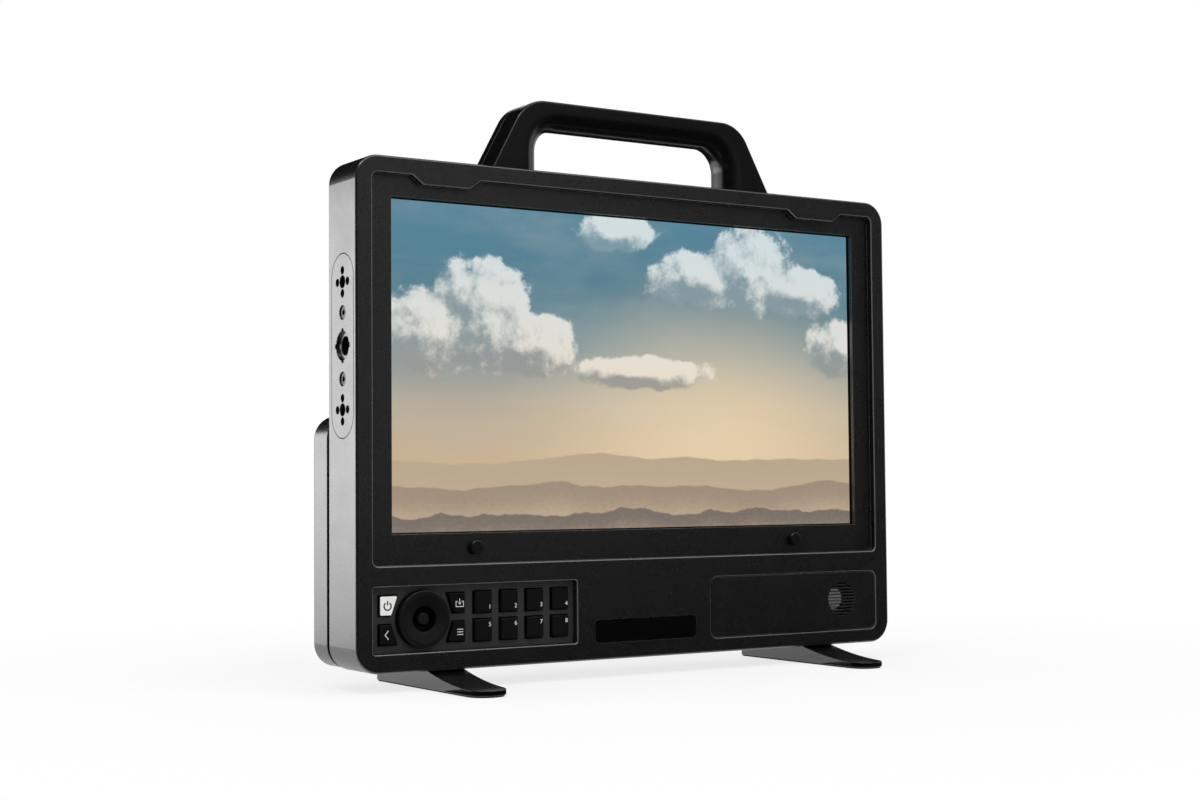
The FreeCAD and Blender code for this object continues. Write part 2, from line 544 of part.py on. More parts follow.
class Piece:
    """A body of one solid, built from boxes, rods, outlines and turned profiles."""

    def __init__(self, label, at=None):
        self.body = doc.addObject("PartDesign::Body", label)
        self.body.Label = label
        if at:
            place(self.body, at)

    def origin(self, role):
        return next(item for item in self.body.Origin.OriginFeatures if item.Role == role)

    def box(self, name, x, y, z, cut=False, corners=None):
        """A box between two planes along each axis, with corners as (axis, radius)."""
        kind = "PartDesign::SubtractiveBox" if cut else "PartDesign::AdditiveBox"
        made = self.body.newObject(kind, name)
        spans = {"x": x, "y": y, "z": z}
        for prop, axis in zip(("Length", "Width", "Height"), "xyz"):
            low, high = spans[axis]
            bind(made, prop, f"({high}) - ({low})")
        place(made, (x[0], y[0], z[0]))
        if corners:
            axis, radius = corners
            ends = [spans[other] for other in "xyz" if other != axis]
            points = [(first, second) for first in ends[0] for second in ends[1]]
            self.round_edges(axis, points, radius)
        return made

    def rod(self, name, axis, at, span, radius, cut=False, far_radius=None):
        """A cylinder along an axis, or a cone if it ends in another radius."""
        shape = "Cylinder" if far_radius is None else "Cone"
        kind = ("PartDesign::Subtractive" if cut else "PartDesign::Additive") + shape
        made = self.body.newObject(kind, name)
        if far_radius is None:
            bind(made, "Radius", radius)
        else:
            bind(made, "Radius1", radius)
            bind(made, "Radius2", far_radius)
        bind(made, "Height", f"({span[1]}) - ({span[0]})")
        made.Placement = Placement(Vector(), Rotation(AXES["z"], AXES[axis]))
        base = list(at)
        base.insert("xyz".index(axis), span[0])
        place(made, base)
        return made

    def sketch(self, name, plane, level):
        """An empty sketch on a plane of the body's origin, moved to a level."""
        made = self.body.newObject("Sketcher::SketchObject", name)
        made.AttachmentSupport = (self.origin(plane), [""])
        made.MapMode = "FlatFace"
        outward = "-1" if plane == "XZ_Plane" else "1"
        bind(made, "AttachmentOffset.Base.z", signed(outward, level))
        return made

    def outline(self, name, plane, level, points):
        """A closed sketch of straight lines through bound points."""
        sketch = self.sketch(name, plane, level)
        spots = [Vector(value(first), value(second), 0) for first, second in points]
        count = len(spots)
        for index in range(count):
            sketch.addGeometry(Part.LineSegment(spots[index], spots[(index + 1) % count]), False)
        for index in range(count):
            sketch.addConstraint(Sketcher.Constraint("Coincident", index, 2, (index + 1) % count, 1))
        for index, (texts, spot) in enumerate(zip(points, spots)):
            for kind, text, present in zip(("DistanceX", "DistanceY"), texts, spot):
                made = sketch.addConstraint(Sketcher.Constraint(kind, index, 1, present))
                bind(sketch, f"Constraints[{made}]", text)
        return sketch

    def rounded_outline(self, name, level, x, z, radius):
        """A rectangle with round corners, seen from the front."""
        sketch = self.sketch(name, "XZ_Plane", level)
        left, right = (f"({x[0]}) + ({radius})", f"({x[1]}) - ({radius})")
        low, high = (f"({z[0]}) + ({radius})", f"({z[1]}) - ({radius})")
        middles = [(left, low), (right, low), (right, high), (left, high)]
        spots = [Vector(value(first), value(second), 0) for first, second in middles]
        size = value(radius)
        arcs = []
        for index, spot in enumerate(spots):
            start = math.pi + index * math.pi / 2
            arcs.append(Part.ArcOfCircle(Part.Circle(spot, AXES["z"], size), start, start + math.pi / 2))
        count = 2 * len(arcs)
        for index, arc in enumerate(arcs):
            sketch.addGeometry(arc, False)
            following = arcs[(index + 1) % len(arcs)]
            sketch.addGeometry(Part.LineSegment(arc.EndPoint, following.StartPoint), False)
        for index in range(count):
            sketch.addConstraint(Sketcher.Constraint("Tangent", index, 2, (index + 1) % count, 1))
        for index, (texts, spot) in enumerate(zip(middles, spots)):
            bound = [
                (Sketcher.Constraint("Radius", 2 * index, size), radius),
                (Sketcher.Constraint("DistanceX", 2 * index, 3, spot.x), texts[0]),
                (Sketcher.Constraint("DistanceY", 2 * index, 3, spot.y), texts[1]),
            ]
            for constraint, text in bound:
                made = sketch.addConstraint(constraint)
                bind(sketch, f"Constraints[{made}]", text)
        return sketch

    def carry(self, name, sketch, plane, span, cut):
        """Carry a sketch from one level to another, as a pad or a pocket."""
        made = self.body.newObject("PartDesign::Pocket" if cut else "PartDesign::Pad", name)
        made.Profile = sketch
        made.Reversed = (plane == "XZ_Plane") != cut
        bind(made, "Length", f"({span[1]}) - ({span[0]})")

    def slab(self, name, plane, span, points, cut=False):
        """A straight-sided outline carried from one level to another."""
        self.carry(name, self.outline(name + "_outline", plane, span[0], points), plane, span, cut)

    def rounded_box(self, name, x, y, z, radius, cut=False):
        """A box with round corners as seen from the front."""
        self.carry(name, self.rounded_outline(name + "_outline", y[0], x, z, radius), "XZ_Plane", y, cut)

    def turn(self, name, points):
        """A profile of (radius, y) points turned about the body's own Y axis."""
        sketch = self.outline(name + "_profile", "XY_Plane", "0", points)
        made = self.body.newObject("PartDesign::Revolution", name)
        made.Profile = sketch
        made.ReferenceAxis = (sketch, ["V_Axis"])
        made.Angle = 360
        return made

    def row(self, name, feature, axis, length, count):
        """Repeat a feature evenly along an axis."""
        made = self.body.newObject("PartDesign::LinearPattern", name)
        made.Originals = [feature]
        made.Direction = (self.origin(axis.upper() + "_Axis"), [""])
        bind(made, "Length", length)
        bind(made, "Occurrences", count)
        self.body.Tip = made

    def circle(self, name, feature, count):
        """Repeat a feature evenly round the body's own Y axis."""
        made = self.body.newObject("PartDesign::PolarPattern", name)
        made.Originals = [feature]
        made.Axis = (self.origin("Y_Axis"), [""])
        made.Angle = 360
        bind(made, "Occurrences", count)
        self.body.Tip = made

    def fillet(self, edges, radius):
        base = self.body.Tip
        made = self.body.newObject("PartDesign::Fillet", "rounding")
        made.Base = (base, edges)
        bind(made, "Radius", radius)

    def round_edges(self, axis, points, radius):
        """Round the straight edges along an axis that pass through the given points."""
        doc.recompute()
        others = [other for other in "xyz" if other != axis]
        spots = [tuple(value(text) for text in point) for point in points]
        edges = []
        for index, edge in enumerate(self.body.Tip.Shape.Edges, start=1):
            ends = edge.BoundBox
            middle = ends.Center
            if ends.DiagonalLength - getattr(ends, axis.upper() + "Length") > NEAR:
                continue
            here = [getattr(middle, other) for other in others]
            if any(max(abs(a - b) for a, b in zip(here, spot)) < NEAR for spot in spots):
                edges.append(f"Edge{index}")
        self.fillet(edges, radius)

    def round_rim(self, axis, level, radius, inside=None, outside=None):
        """Round the edges in a plane, all of them or those inside or outside a box of spans."""
        doc.recompute()
        height = value(level)
        edges = []
        for index, edge in enumerate(self.body.Tip.Shape.Edges, start=1):
            low, high = extent(edge, axis)
            if max(abs(low - height), abs(high - height)) > NEAR:
                continue
            if inside and not lies_within(edge, inside):
                continue
            if outside and lies_within(edge, outside):
                continue
            edges.append(f"Edge{index}")
        self.fillet(edges, radius)

    def done(self):
        nodes.append(self.body)


def group(label, solids):
    """Several like solids in one node."""
    made = doc.addObject("Part::Compound", label)
    made.Label = label
    made.Links = solids
    nodes.append(made)


def joined(label, kind, base, tools):
    """A boolean of a base with one or more tools."""
    tool = tools[0]
    if len(tools) > 1:
        tool = doc.addObject("Part::MultiFuse", label + "_tools")
        tool.Shapes = tools
    made = doc.addObject("Part::" + kind, label)
    made.Label = label
    made.Base = base
    made.Tool = tool
    return made


def cylinder(name, radius, length, at, direction):
    """A plain cylinder from a point along a direction."""
    made = doc.addObject("Part::Cylinder", name)
    bind(made, "Radius", radius)
    bind(made, "Height", length)
    made.Placement = Placement(Vector(), Rotation(AXES["z"], Vector(*direction)))
    place(made, at)
    return made


def screw(thread, length, at, out, flat=False):
    """A socket screw: at is the middle of its seat, or of a flat head's face, and out its way out."""
    head_height = thread + "_head_height"
    head = doc.addObject("Part::Cone" if flat else "Part::Cylinder", "head")
    if flat:
        bind(head, "Radius1", thread + "_radius")
        bind(head, "Radius2", thread + "_head")
        bind(head, "Placement.Base.z", "0 - " + head_height)
    else:
        bind(head, "Radius", thread + "_head")
    bind(head, "Height", head_height)
    shank = doc.addObject("Part::Cylinder", "shank")
    bind(shank, "Radius", thread + "_radius")
    bind(shank, "Height", length)
    bind(shank, "Placement.Base.z", f"0 - ({length})")
    socket = doc.addObject("Part::Prism", "socket")
    socket.Polygon = 6
    bind(socket, "Circumradius", thread + "_socket")
    bind(socket, "Height", head_height)
    bind(socket, "Placement.Base.z", ("0 - " if flat else "") + head_height + " * socket_floor")
    made = joined("screw", "Cut", joined("blank", "Fuse", head, [shank]), [socket])
    made.Placement = Placement(Vector(), Rotation(AXES["z"], Vector(*out)))
    place(made, at)
    return made


def flat_head_seat(piece, axis, at, face, thread, inward):
    """Cut the cone for a flat screw head whose face lies at a level."""
    depth = f"({thread}_head_height)"
    wide = f"{thread}_head + thread_gap"
    narrow = f"{thread}_radius + thread_gap"
    if inward > 0:
        piece.rod("seat", axis, at, (face, f"({face}) + {depth}"), wide, True, narrow)
    else:
        piece.rod("seat", axis, at, (f"({face}) - {depth}", face), narrow, True, wide)


def foot_screw_places(sign):
    x = signed(sign, "foot_spread")
    return [(x, f"foot_screw_y + {index} * foot_screw_pitch") for index in range(2)]


def plate_screw_places():
    return [("pill_y", f"pill_z + {up} * plate_screw_spread") for up in (-1, 1)]


def shell_screw_places():
    return [(signed(sign, "shell_screw_x"), "handle_back_y", "shell_screw_low") for sign in (-1, 1)]


def cover_screw_places():
    outer = [(signed(sign, "boss_side"), z) for sign in (-1, 1) for z in ("boss_low", "boss_high")]
    inner = [(signed(sign, "boss_spread"), z) for sign in (-1, 1) for z in ("boss_low", "boss_high")]
    return outer + inner


def bracket_screw_places():
    high = [(signed(sign, "tab_spread"), "bracket_screw_high") for sign in (-1, 1)]
    low = [(signed(sign, "tab_spread"), "bracket_screw_low") for sign in (-1, 1)]
    return high + low


def rear_screw_places():
    return [(signed(sign, "rear_post_x"), z) for sign in (-1, 1) for z in ("rear_post_low", "rear_post_high")]


def key_post_places():
    across = [signed(sign, "post_spread") for sign in (-1, 1)]
    up = [signed(sign, "post_rise") for sign in (-1, 1)]
    return [(f"keypad_x + {x}", f"keypad_z + {z}") for x in across for z in up]


def board_screw_places():
    across = [signed(sign, "board_screw_x") for sign in (-1, 1)]
    up = [signed(sign, "board_screw_z") for sign in (-1, 1)]
    return [(x, f"screen_z + {z}") for x in across for z in up]


def battery_screw_places():
    across = [signed(sign, "battery_screw_x") for sign in (-1, 1)]
    up = [signed(sign, "battery_screw_z") for sign in (-1, 1)]
    return [(x, f"battery_z + {z}") for x in across for z in up]


def handle_bolt_places():
    return [(signed(sign, x), "bolt_y") for sign in (-1, 1) for x in ("bolt_inner", "bolt_outer")]


def bnc_places():
    return [f"{index} * bnc_pitch - bnc_first" for index in range(4)]


# Key layout: name, side of the ring, row above or below it
CORNER_KEYS = [
    ("power_key", -1, 1),
    ("back_key", -1, -1),
    ("input_key", 1, 1),
    ("menu_key", 1, -1),
]
FUNCTION_KEYS = [(f"function_key_{4 * row + column + 1}", column, 1 - 2 * row)
                 for row in range(2) for column in range(4)]


def corner_key_points(side, level, grow="0"):
    """The four corners of a key beside the ring, grown by a margin."""
    outer = f"corner_outer + {grow}"
    far = f"corner_far - {grow}"
    near = f"corner_near - {grow}"
    top = f"corner_top + {grow}"
    low = f"corner_low - {grow}"
    corners = [(outer, top), (far, top), (near, low), (outer, low)]
    return [(f"ring_x + {side} * ({x})", f"keypad_z + {level} * ({z})") for x, z in corners]


def corner_key_middle(side, level):
    x = f"ring_x + {side} * (corner_outer + corner_near) / 2"
    return x, f"keypad_z + {level} * (corner_top + corner_low) / 2"


def function_key_middle(column, level):
    return f"ring_x + key_start + {column} * key_pitch", f"keypad_z + {level} * key_row_pitch / 2"


def key_middles():
    corner = [corner_key_middle(side, level) for name, side, level in CORNER_KEYS]
    return corner + [function_key_middle(column, level) for name, column, level in FUNCTION_KEYS]


def front_housing():
    piece = Piece("front_housing")
    across = about("0", "casing_width")
    upright = ("casing_bottom", "casing_top")
    inner = {"x": about("0", "2 * inner_half"), "z": ("inner_bottom", "inner_top")}
    piece.rounded_box("shell", across, ("front_y", "casing_back"), upright, "casing_corner")
    piece.round_rim("y", "front_y", "casing_edge")
    piece.rounded_box("hollow", inner["x"], ("plate_back", "casing_back"), inner["z"],
                      "casing_corner - wall", True)
    piece.round_rim("y", "casing_back", "casing_edge", outside=inner)
    screen_recess(piece)
    front_openings(piece, inner)
    for side, sign in SIDES:
        side_block(piece, sign)
        foot_block(piece, sign)
    for x, z in cover_screw_places():
        piece.box("boss", about(x, "boss_size"), ("cover_front - boss_depth", "cover_front"),
                  about(z, "boss_size"))
        piece.rod("boss_hole", "y", (x, z), ("casing_back - cover_screw_length - hole_end", "cover_front"),
                  "small_hole", True)
    for x, z in bracket_screw_places():
        depth = ("plate_back + bracket_sheet - small_length - hole_end", "plate_back")
        piece.rod("bracket_hole", "y", (x, z), depth, "small_hole", True)
    for x, y in handle_bolt_places():
        piece.rod("bolt_hole", "z", (x, y), ("inner_top", "casing_top"), "large_hole", True)
    piece.done()


def screen_recess(piece):
    """The shallow recess round the screen, with two tabs at its upper edge, and the window."""
    half = "recess_width / 2"
    drop = "recess_high - tab_drop"
    tab = [
        ("tab_spread + tab_width / 2 + tab_slope", "recess_high"),
        ("tab_spread + tab_width / 2", drop),
        ("tab_spread - tab_width / 2", drop),
        ("tab_spread - tab_width / 2 - tab_slope", "recess_high"),
    ]
    other_tab = [(signed(-1, x), z) for x, z in reversed(tab)]
    lower = [(signed(-1, half), "recess_low"), (half, "recess_low")]
    points = lower + [(half, "recess_high")] + tab + other_tab + [(signed(-1, half), "recess_high")]
    piece.slab("recess", "XZ_Plane", ("front_y", "recess_floor"), points, True)
    corners = [(signed(sign, half), z) for sign in (-1, 1) for z in ("recess_low", "recess_high")]
    piece.round_edges("y", corners, "recess_corner")
    piece.box("window", about("0", "screen_width + 2 * window_margin"), ("recess_floor", "plate_back"),
              about("screen_z", "screen_height + 2 * window_margin"), True)
    for side, sign in SIDES:
        piece.rod("stud_hole", "y", (signed(sign, "stud_spread"), "stud_z"), ("recess_floor", "plate_back"),
                  "stem_radius + thread_gap", True)


def front_openings(piece, inner):
    """The keypad opening and the pockets of the loudspeaker cover and the plaque."""
    piece.box("keypad_opening", about("keypad_x", "keypad_width"), ("front_y", "plate_back"),
              about("keypad_z", "keypad_height"), True, ("y", "keypad_corner"))
    piece.box("speaker_pocket", about("speaker_right", "speaker_width"), ("front_y", "speaker_back"),
              about("speaker_z", "speaker_height"), True, ("y", "speaker_corner"))
    piece.round_rim("y", "front_y", "opening_edge", inside=inner)
    piece.rod("speaker_opening", "y", ("grille_x", "grille_z"), ("speaker_back", "plate_back"),
              "speaker_hole", True)
    piece.box("plaque_pocket", about("0", "plaque_width"), ("front_y", "front_y + plaque_sink"),
              about("plaque_z", "plaque_height"), True, ("y", "plaque_corner"))


def side_block(piece, sign):
    """The thick part of a side wall and the pocket that a mounting plate sits in."""
    length = "pill_length + 2 * pill_block_margin"
    piece.box("side_block", mirrored(sign, "block_inner", "inner_half"), ("plate_back", "cover_front"),
              about("pill_z", length))
    depth = mirrored(sign, "pill_inner", "casing_half")
    fit = "pill_width + 2 * pill_fit"
    piece.box("plate_pocket", depth, about("pill_y", fit), about("pill_z", "2 * pill_end"), True)
    for up in (-1, 1):
        piece.rod("plate_pocket_end", "x", ("pill_y", f"pill_z + {up} * pill_end"), depth,
                  "pill_width / 2 + pill_fit", True)
    screw_depth = mirrored(sign, "plate_screw_face - flat_length - hole_end", "pill_inner")
    for at in plate_screw_places():
        piece.rod("plate_screw_hole", "x", at, screw_depth, "middle_hole", True)


def foot_block(piece, sign):
    """The block on the floor of the housing that takes the screws of a foot."""
    piece.box("foot_block", about(signed(sign, "foot_spread"), "foot_block_width"),
              ("foot_block_front", "cover_front"), ("inner_bottom", "foot_block_top"))
    for x, y in foot_screw_places(sign):
        piece.rod("foot_hole", "z", (x, y), ("casing_bottom", "foot_screw_seat + middle_length + hole_end"),
                  "middle_hole", True)


def guard_studs():
    solids = []
    for side, sign in SIDES:
        piece = Piece("guard_stud_" + side, (signed(sign, "stud_spread"), "0", "stud_z"))
        piece.rod("head", "y", ("0", "0"), ("recess_floor - stud_height", "recess_floor"), "stud_radius")
        piece.round_rim("y", "recess_floor - stud_height", "stud_edge")
        piece.rod("stem", "y", ("0", "0"), ("recess_floor", "recess_floor + stem_length"), "stem_radius")
        solids.append(piece.body)
    group("guard_studs", solids)


def screen_stack():
    """Gasket, cover glass, display panel and backlight tray, one behind the other."""
    across = about("0", "2 * glass_half")
    upright = ("glass_low", "glass_high")
    gasket = Piece("glass_gasket")
    gasket.box("sheet", across, ("plate_back", "glass_front"), upright)
    gasket.box("opening", about("0", "2 * (glass_half - gasket_lap)"), ("plate_back", "glass_front"),
               ("glass_low + gasket_lap", "glass_high - gasket_lap"), True)
    gasket.done()
    glass = Piece("cover_glass")
    glass.box("sheet", across, ("glass_front", "panel_front"), upright)
    glass.done()
    panel = Piece("display_panel")
    panel.box("sheet", about("0", "screen_width + 2 * panel_margin"), ("panel_front", "tray_front"),
              about("screen_z", "screen_height + 2 * panel_margin"))
    panel.done()
    tray = Piece("backlight_tray")
    tray.box("sheet", about("0", "screen_width + 2 * tray_margin"), ("tray_front", "tray_back"),
             about("screen_z", "screen_height + 2 * tray_margin"), corners=("y", "tray_corner"))
    for x, z in board_screw_places():
        tray.rod("standoff", "y", (x, z), ("tray_back", "board_front"), "standoff_radius")
        tray.rod("standoff_hole", "y", (x, z), ("board_back - small_length - hole_end", "board_front"),
                 "small_hole", True)
    tray.done()


def panel_brackets():
    """A folded sheet above and below the screen holds the stack against the front plate."""
    solids = []
    across = about("0", "bracket_length")
    foot = ("plate_back", "plate_back + bracket_sheet")
    lap = ("tray_back", "tray_back + bracket_sheet")
    for name, edge, up in (("low", "glass_low", -1), ("high", "glass_high", 1)):
        piece = Piece("panel_bracket_" + name)
        near = f"{edge} + {up} * bracket_gap"
        far = f"{near} + {up} * bracket_sheet"
        inner = f"{edge} - {up} * bracket_lap"
        piece.box("web", across, (foot[0], lap[1]), (near, far)[::up])
        piece.box("lap", across, lap, (inner, far)[::up])
        piece.box("foot", across, foot, (near, "bracket_end_" + name)[::up])
        for sign in (-1, 1):
            at = (signed(sign, "tab_spread"), "bracket_screw_" + name)
            piece.rod("hole", "y", at, foot, "small_hole", True)
        solids.append(piece.body)
    group("panel_brackets", solids)


def keypad_panel():
    piece = Piece("keypad_panel")
    lap = "2 * keypad_lap"
    piece.box("flange", about("keypad_x", f"keypad_width + {lap}"), ("plate_back", "keypad_back"),
              about("keypad_z", f"keypad_height + {lap}"), corners=("y", "keypad_corner + keypad_lap"))
    piece.box("land", about("keypad_x", "keypad_width - 2 * keypad_fit"), ("keypad_face", "plate_back"),
              about("keypad_z", "keypad_height - 2 * keypad_fit"), corners=("y", "keypad_corner"))
    piece.rod("ring_pocket", "y", ("ring_x", "keypad_z"), ("keypad_face", "ring_floor"),
              "ring_radius + ring_margin", True)
    piece.rod("ring_hole", "y", ("ring_x", "keypad_z"), ("keypad_face", "keypad_back"),
              "sleeve_radius + ring_float", True)
    for name, side, level in CORNER_KEYS:
        piece.slab("hole_of_" + name, "XZ_Plane", ("keypad_face", "keypad_back"),
                   corner_key_points(side, level, "key_gap"), True)
    for name, column, level in FUNCTION_KEYS:
        x, z = function_key_middle(column, level)
        piece.box("hole_of_" + name, about(x, "key_width + 2 * key_gap"), ("keypad_face", "keypad_back"),
                  about(z, "key_height + 2 * key_gap"), True)
    for x, z in key_post_places():
        piece.rod("post", "y", (x, z), ("keypad_back", "key_board_front"), "post_radius")
        piece.rod("post_hole", "y", (x, z), ("key_board_back - small_length - hole_end", "key_board_front"),
                  "small_hole", True)
    piece.done()


def key_stem(piece, x, z):
    piece.rod("stem", "y", (x, z), ("key_stem_front", "key_stem_end"), "key_stem_radius")


def corner_keys():
    for name, side, level in CORNER_KEYS:
        piece = Piece(name)
        points = corner_key_points(side, level)
        piece.slab("cap", "XZ_Plane", ("key_front", "key_flange_front"), points)
        piece.round_edges("y", points, "key_corner")
        piece.round_rim("y", "key_front", "key_edge")
        piece.slab("flange", "XZ_Plane", ("key_flange_front", "key_stem_front"),
                   corner_key_points(side, level, "key_flange"))
        key_stem(piece, *corner_key_middle(side, level))
        piece.done()


def function_keys():
    for name, column, level in FUNCTION_KEYS:
        piece = Piece(name)
        x, z = function_key_middle(column, level)
        piece.box("cap", about(x, "key_width"), ("key_front", "key_flange_front"), about(z, "key_height"),
                  corners=("y", "key_corner"))
        piece.round_rim("y", "key_front", "key_edge")
        piece.box("flange", about(x, "key_width + 2 * key_flange"), ("key_flange_front", "key_stem_front"),
                  about(z, "key_height + 2 * key_flange"))
        key_stem(piece, x, z)
        piece.done()


def key_board():
    piece = Piece("key_board")
    piece.box("sheet", about("keypad_x", "keypad_width"), ("key_board_front", "key_board_back"),
              about("keypad_z", "2 * (post_rise + post_radius)"))
    for x, z in key_post_places():
        piece.rod("hole", "y", (x, z), ("key_board_front", "key_board_back"), "small_hole", True)
    piece.done()
    solids = []
    for x, z in key_middles():
        switch = Piece("key_switch")
        switch.box("case", about(x, "switch_size"), ("switch_front", "key_board_front"),
                   about(z, "switch_size"))
        switch.rod("plunger", "y", (x, z), ("plunger_front", "switch_front"), "plunger_radius")
        solids.append(switch.body)
    group("key_switches", solids)


def control_ring():
    ring = Piece("control_ring", ("ring_x", "0", "keypad_z"))
    lip = "sleeve_radius + sleeve_lip"
    ring.turn("ring", [
        ("ring_bore", "front_y + ring_dish"),
        ("ring_radius - ring_rim", "front_y"),
        ("ring_radius", "front_y"),
        ("ring_radius", "ring_floor - ring_float"),
        ("sleeve_radius", "ring_floor - ring_float"),
        ("sleeve_radius", "sleeve_end - sleeve_lip_length"),
        (lip, "sleeve_end - sleeve_lip_length"),
        (lip, "sleeve_end"),
        ("ring_bore", "sleeve_end"),
    ])
    ring.round_rim("y", "front_y", "ring_edge")
    ring.done()
    encoder = Piece("encoder_body", ("ring_x", "0", "keypad_z"))
    bore = "sleeve_radius + running_gap"
    step = "sleeve_radius + sleeve_lip + ring_float"
    encoder.turn("body", [
        (bore, "encoder_front"),
        ("encoder_radius", "encoder_front"),
        ("encoder_radius", "key_board_front"),
        (step, "key_board_front"),
        (step, "encoder_shelf"),
        (bore, "encoder_shelf"),
    ])
    encoder.done()


def joystick():
    """A stick in a gimbal ring, in a carrier that slides in a cup when the stick is pressed."""
    middle = ("ring_x", "0", "keypad_z")
    base = Piece("joystick_base", middle)
    base.rod("cup", "y", ("0", "0"), ("stick_base_front", "key_board_front"), "stick_base_radius")
    base.rod("hollow", "y", ("0", "0"), ("stick_base_front", "key_board_front - stick_base_floor"),
             "stick_cup_radius", True)
    base.done()
    carrier = Piece("joystick_carrier", middle)
    pin_hole = "gimbal_pin + running_gap"
    carrier_depth = ("carrier_front", "carrier_back")
    carrier.rod("tube", "y", ("0", "0"), carrier_depth, "carrier_radius")
    carrier.rod("hollow", "y", ("0", "0"), carrier_depth, "carrier_radius - carrier_wall", True)
    carrier.rod("pin_holes", "z", ("0", "pivot_y"), about("0", "2 * carrier_radius"), pin_hole, True)
    carrier.done()
    gimbal = Piece("joystick_gimbal", middle)
    gimbal.rod("ring", "y", ("0", "0"), about("pivot_y", "gimbal_height"), "gimbal_radius")
    gimbal.rod("pins", "z", ("0", "pivot_y"), about("0", "2 * (carrier_radius - running_gap)"), "gimbal_pin")
    gimbal.rod("hole", "y", ("0", "0"), about("pivot_y", "gimbal_height"), "gimbal_bore", True)
    gimbal.rod("pin_holes", "x", ("pivot_y", "0"), about("0", "2 * gimbal_radius"), pin_hole, True)
    gimbal.done()
    stick = Piece("joystick_stick", middle)
    stick.rod("rod", "y", ("0", "0"), ("cap_front + cap_height", "pivot_y + stick_tail"), "stick_radius")
    stick.rod("pins", "x", ("pivot_y", "0"), about("0", "2 * (gimbal_radius - running_gap)"), "gimbal_pin")
    stick.done()
    cap = Piece("joystick_cap", middle)
    cap.rod("cap", "y", ("0", "0"), ("cap_front", "cap_front + cap_height"), "cap_radius")
    cap.round_rim("y", "cap_front", "cap_edge")
    cap.done()


def name_plaque():
    piece = Piece("name_plaque")
    floor = "front_y + plaque_sink"
    piece.box("plate", about("0", "plaque_width - 2 * cover_gap"), (f"{floor} - plaque_thickness", floor),
              about("plaque_z", "plaque_height - 2 * cover_gap"), corners=("y", "plaque_corner - cover_gap"))
    piece.done()


def loudspeaker():
    cover = Piece("speaker_cover")
    depth = ("front_y", "speaker_back")
    cover.box("plate", about("speaker_right", "speaker_width - 2 * speaker_seam"), depth,
              about("speaker_z", "speaker_height - 2 * speaker_seam"),
              corners=("y", "speaker_corner - speaker_seam"))
    reach = int((value("grille_radius") - value("slit_height")) / value("slit_pitch"))
    for index in range(-reach, reach + 1):
        offset = f"abs({index}) * slit_pitch + slit_height / 2"
        length = f"2 * sqrt(grille_radius ^ 2 - ({offset}) ^ 2)"
        cover.box("slit", about("grille_x", length), depth,
                  about(f"grille_z + {index} * slit_pitch", "slit_height"), True)
    cover.done()
    driver = Piece("speaker_driver", ("grille_x", "0", "grille_z"))
    throat = "speaker_hole - cone_edge"
    driver.turn("basket", [
        ("0", "basket_back"),
        (throat, "basket_back - cone_sheet"),
        (throat, "plate_back"),
        ("driver_flange", "plate_back"),
        ("driver_flange", "plate_back + driver_flange_depth"),
        ("basket_radius", "plate_back + driver_flange_depth"),
        ("basket_radius", "basket_back"),
        ("magnet_radius", "basket_back"),
        ("magnet_radius", "basket_back + magnet_depth"),
        ("0", "basket_back + magnet_depth"),
    ])
    driver.done()
    cone = Piece("speaker_cone", ("grille_x", "0", "grille_z"))
    rim = f"({throat}) - cone_edge / 2"
    ball = "((dome_radius ^ 2 + dome_height ^ 2) / (2 * dome_height))"
    dome = []
    for quarter in range(5):
        reach = f"{quarter} * dome_radius / 4"
        dome.append((reach, f"plate_back + {ball} - sqrt({ball} ^ 2 - ({reach}) ^ 2)"))
    coil = "dome_radius - cone_sheet"
    slope = f"cone_sheet / ({throat})"
    back = "plate_back + dome_height + cone_sheet"
    cone.turn("cone", dome + [
        (rim, "plate_back"),
        (rim, "plate_back + cone_sheet"),
        ("dome_radius", back),
        ("dome_radius", f"basket_back - dome_radius * {slope}"),
        (coil, f"basket_back - ({coil}) * {slope}"),
        (coil, back),
        ("0", back),
    ])
    cone.done()


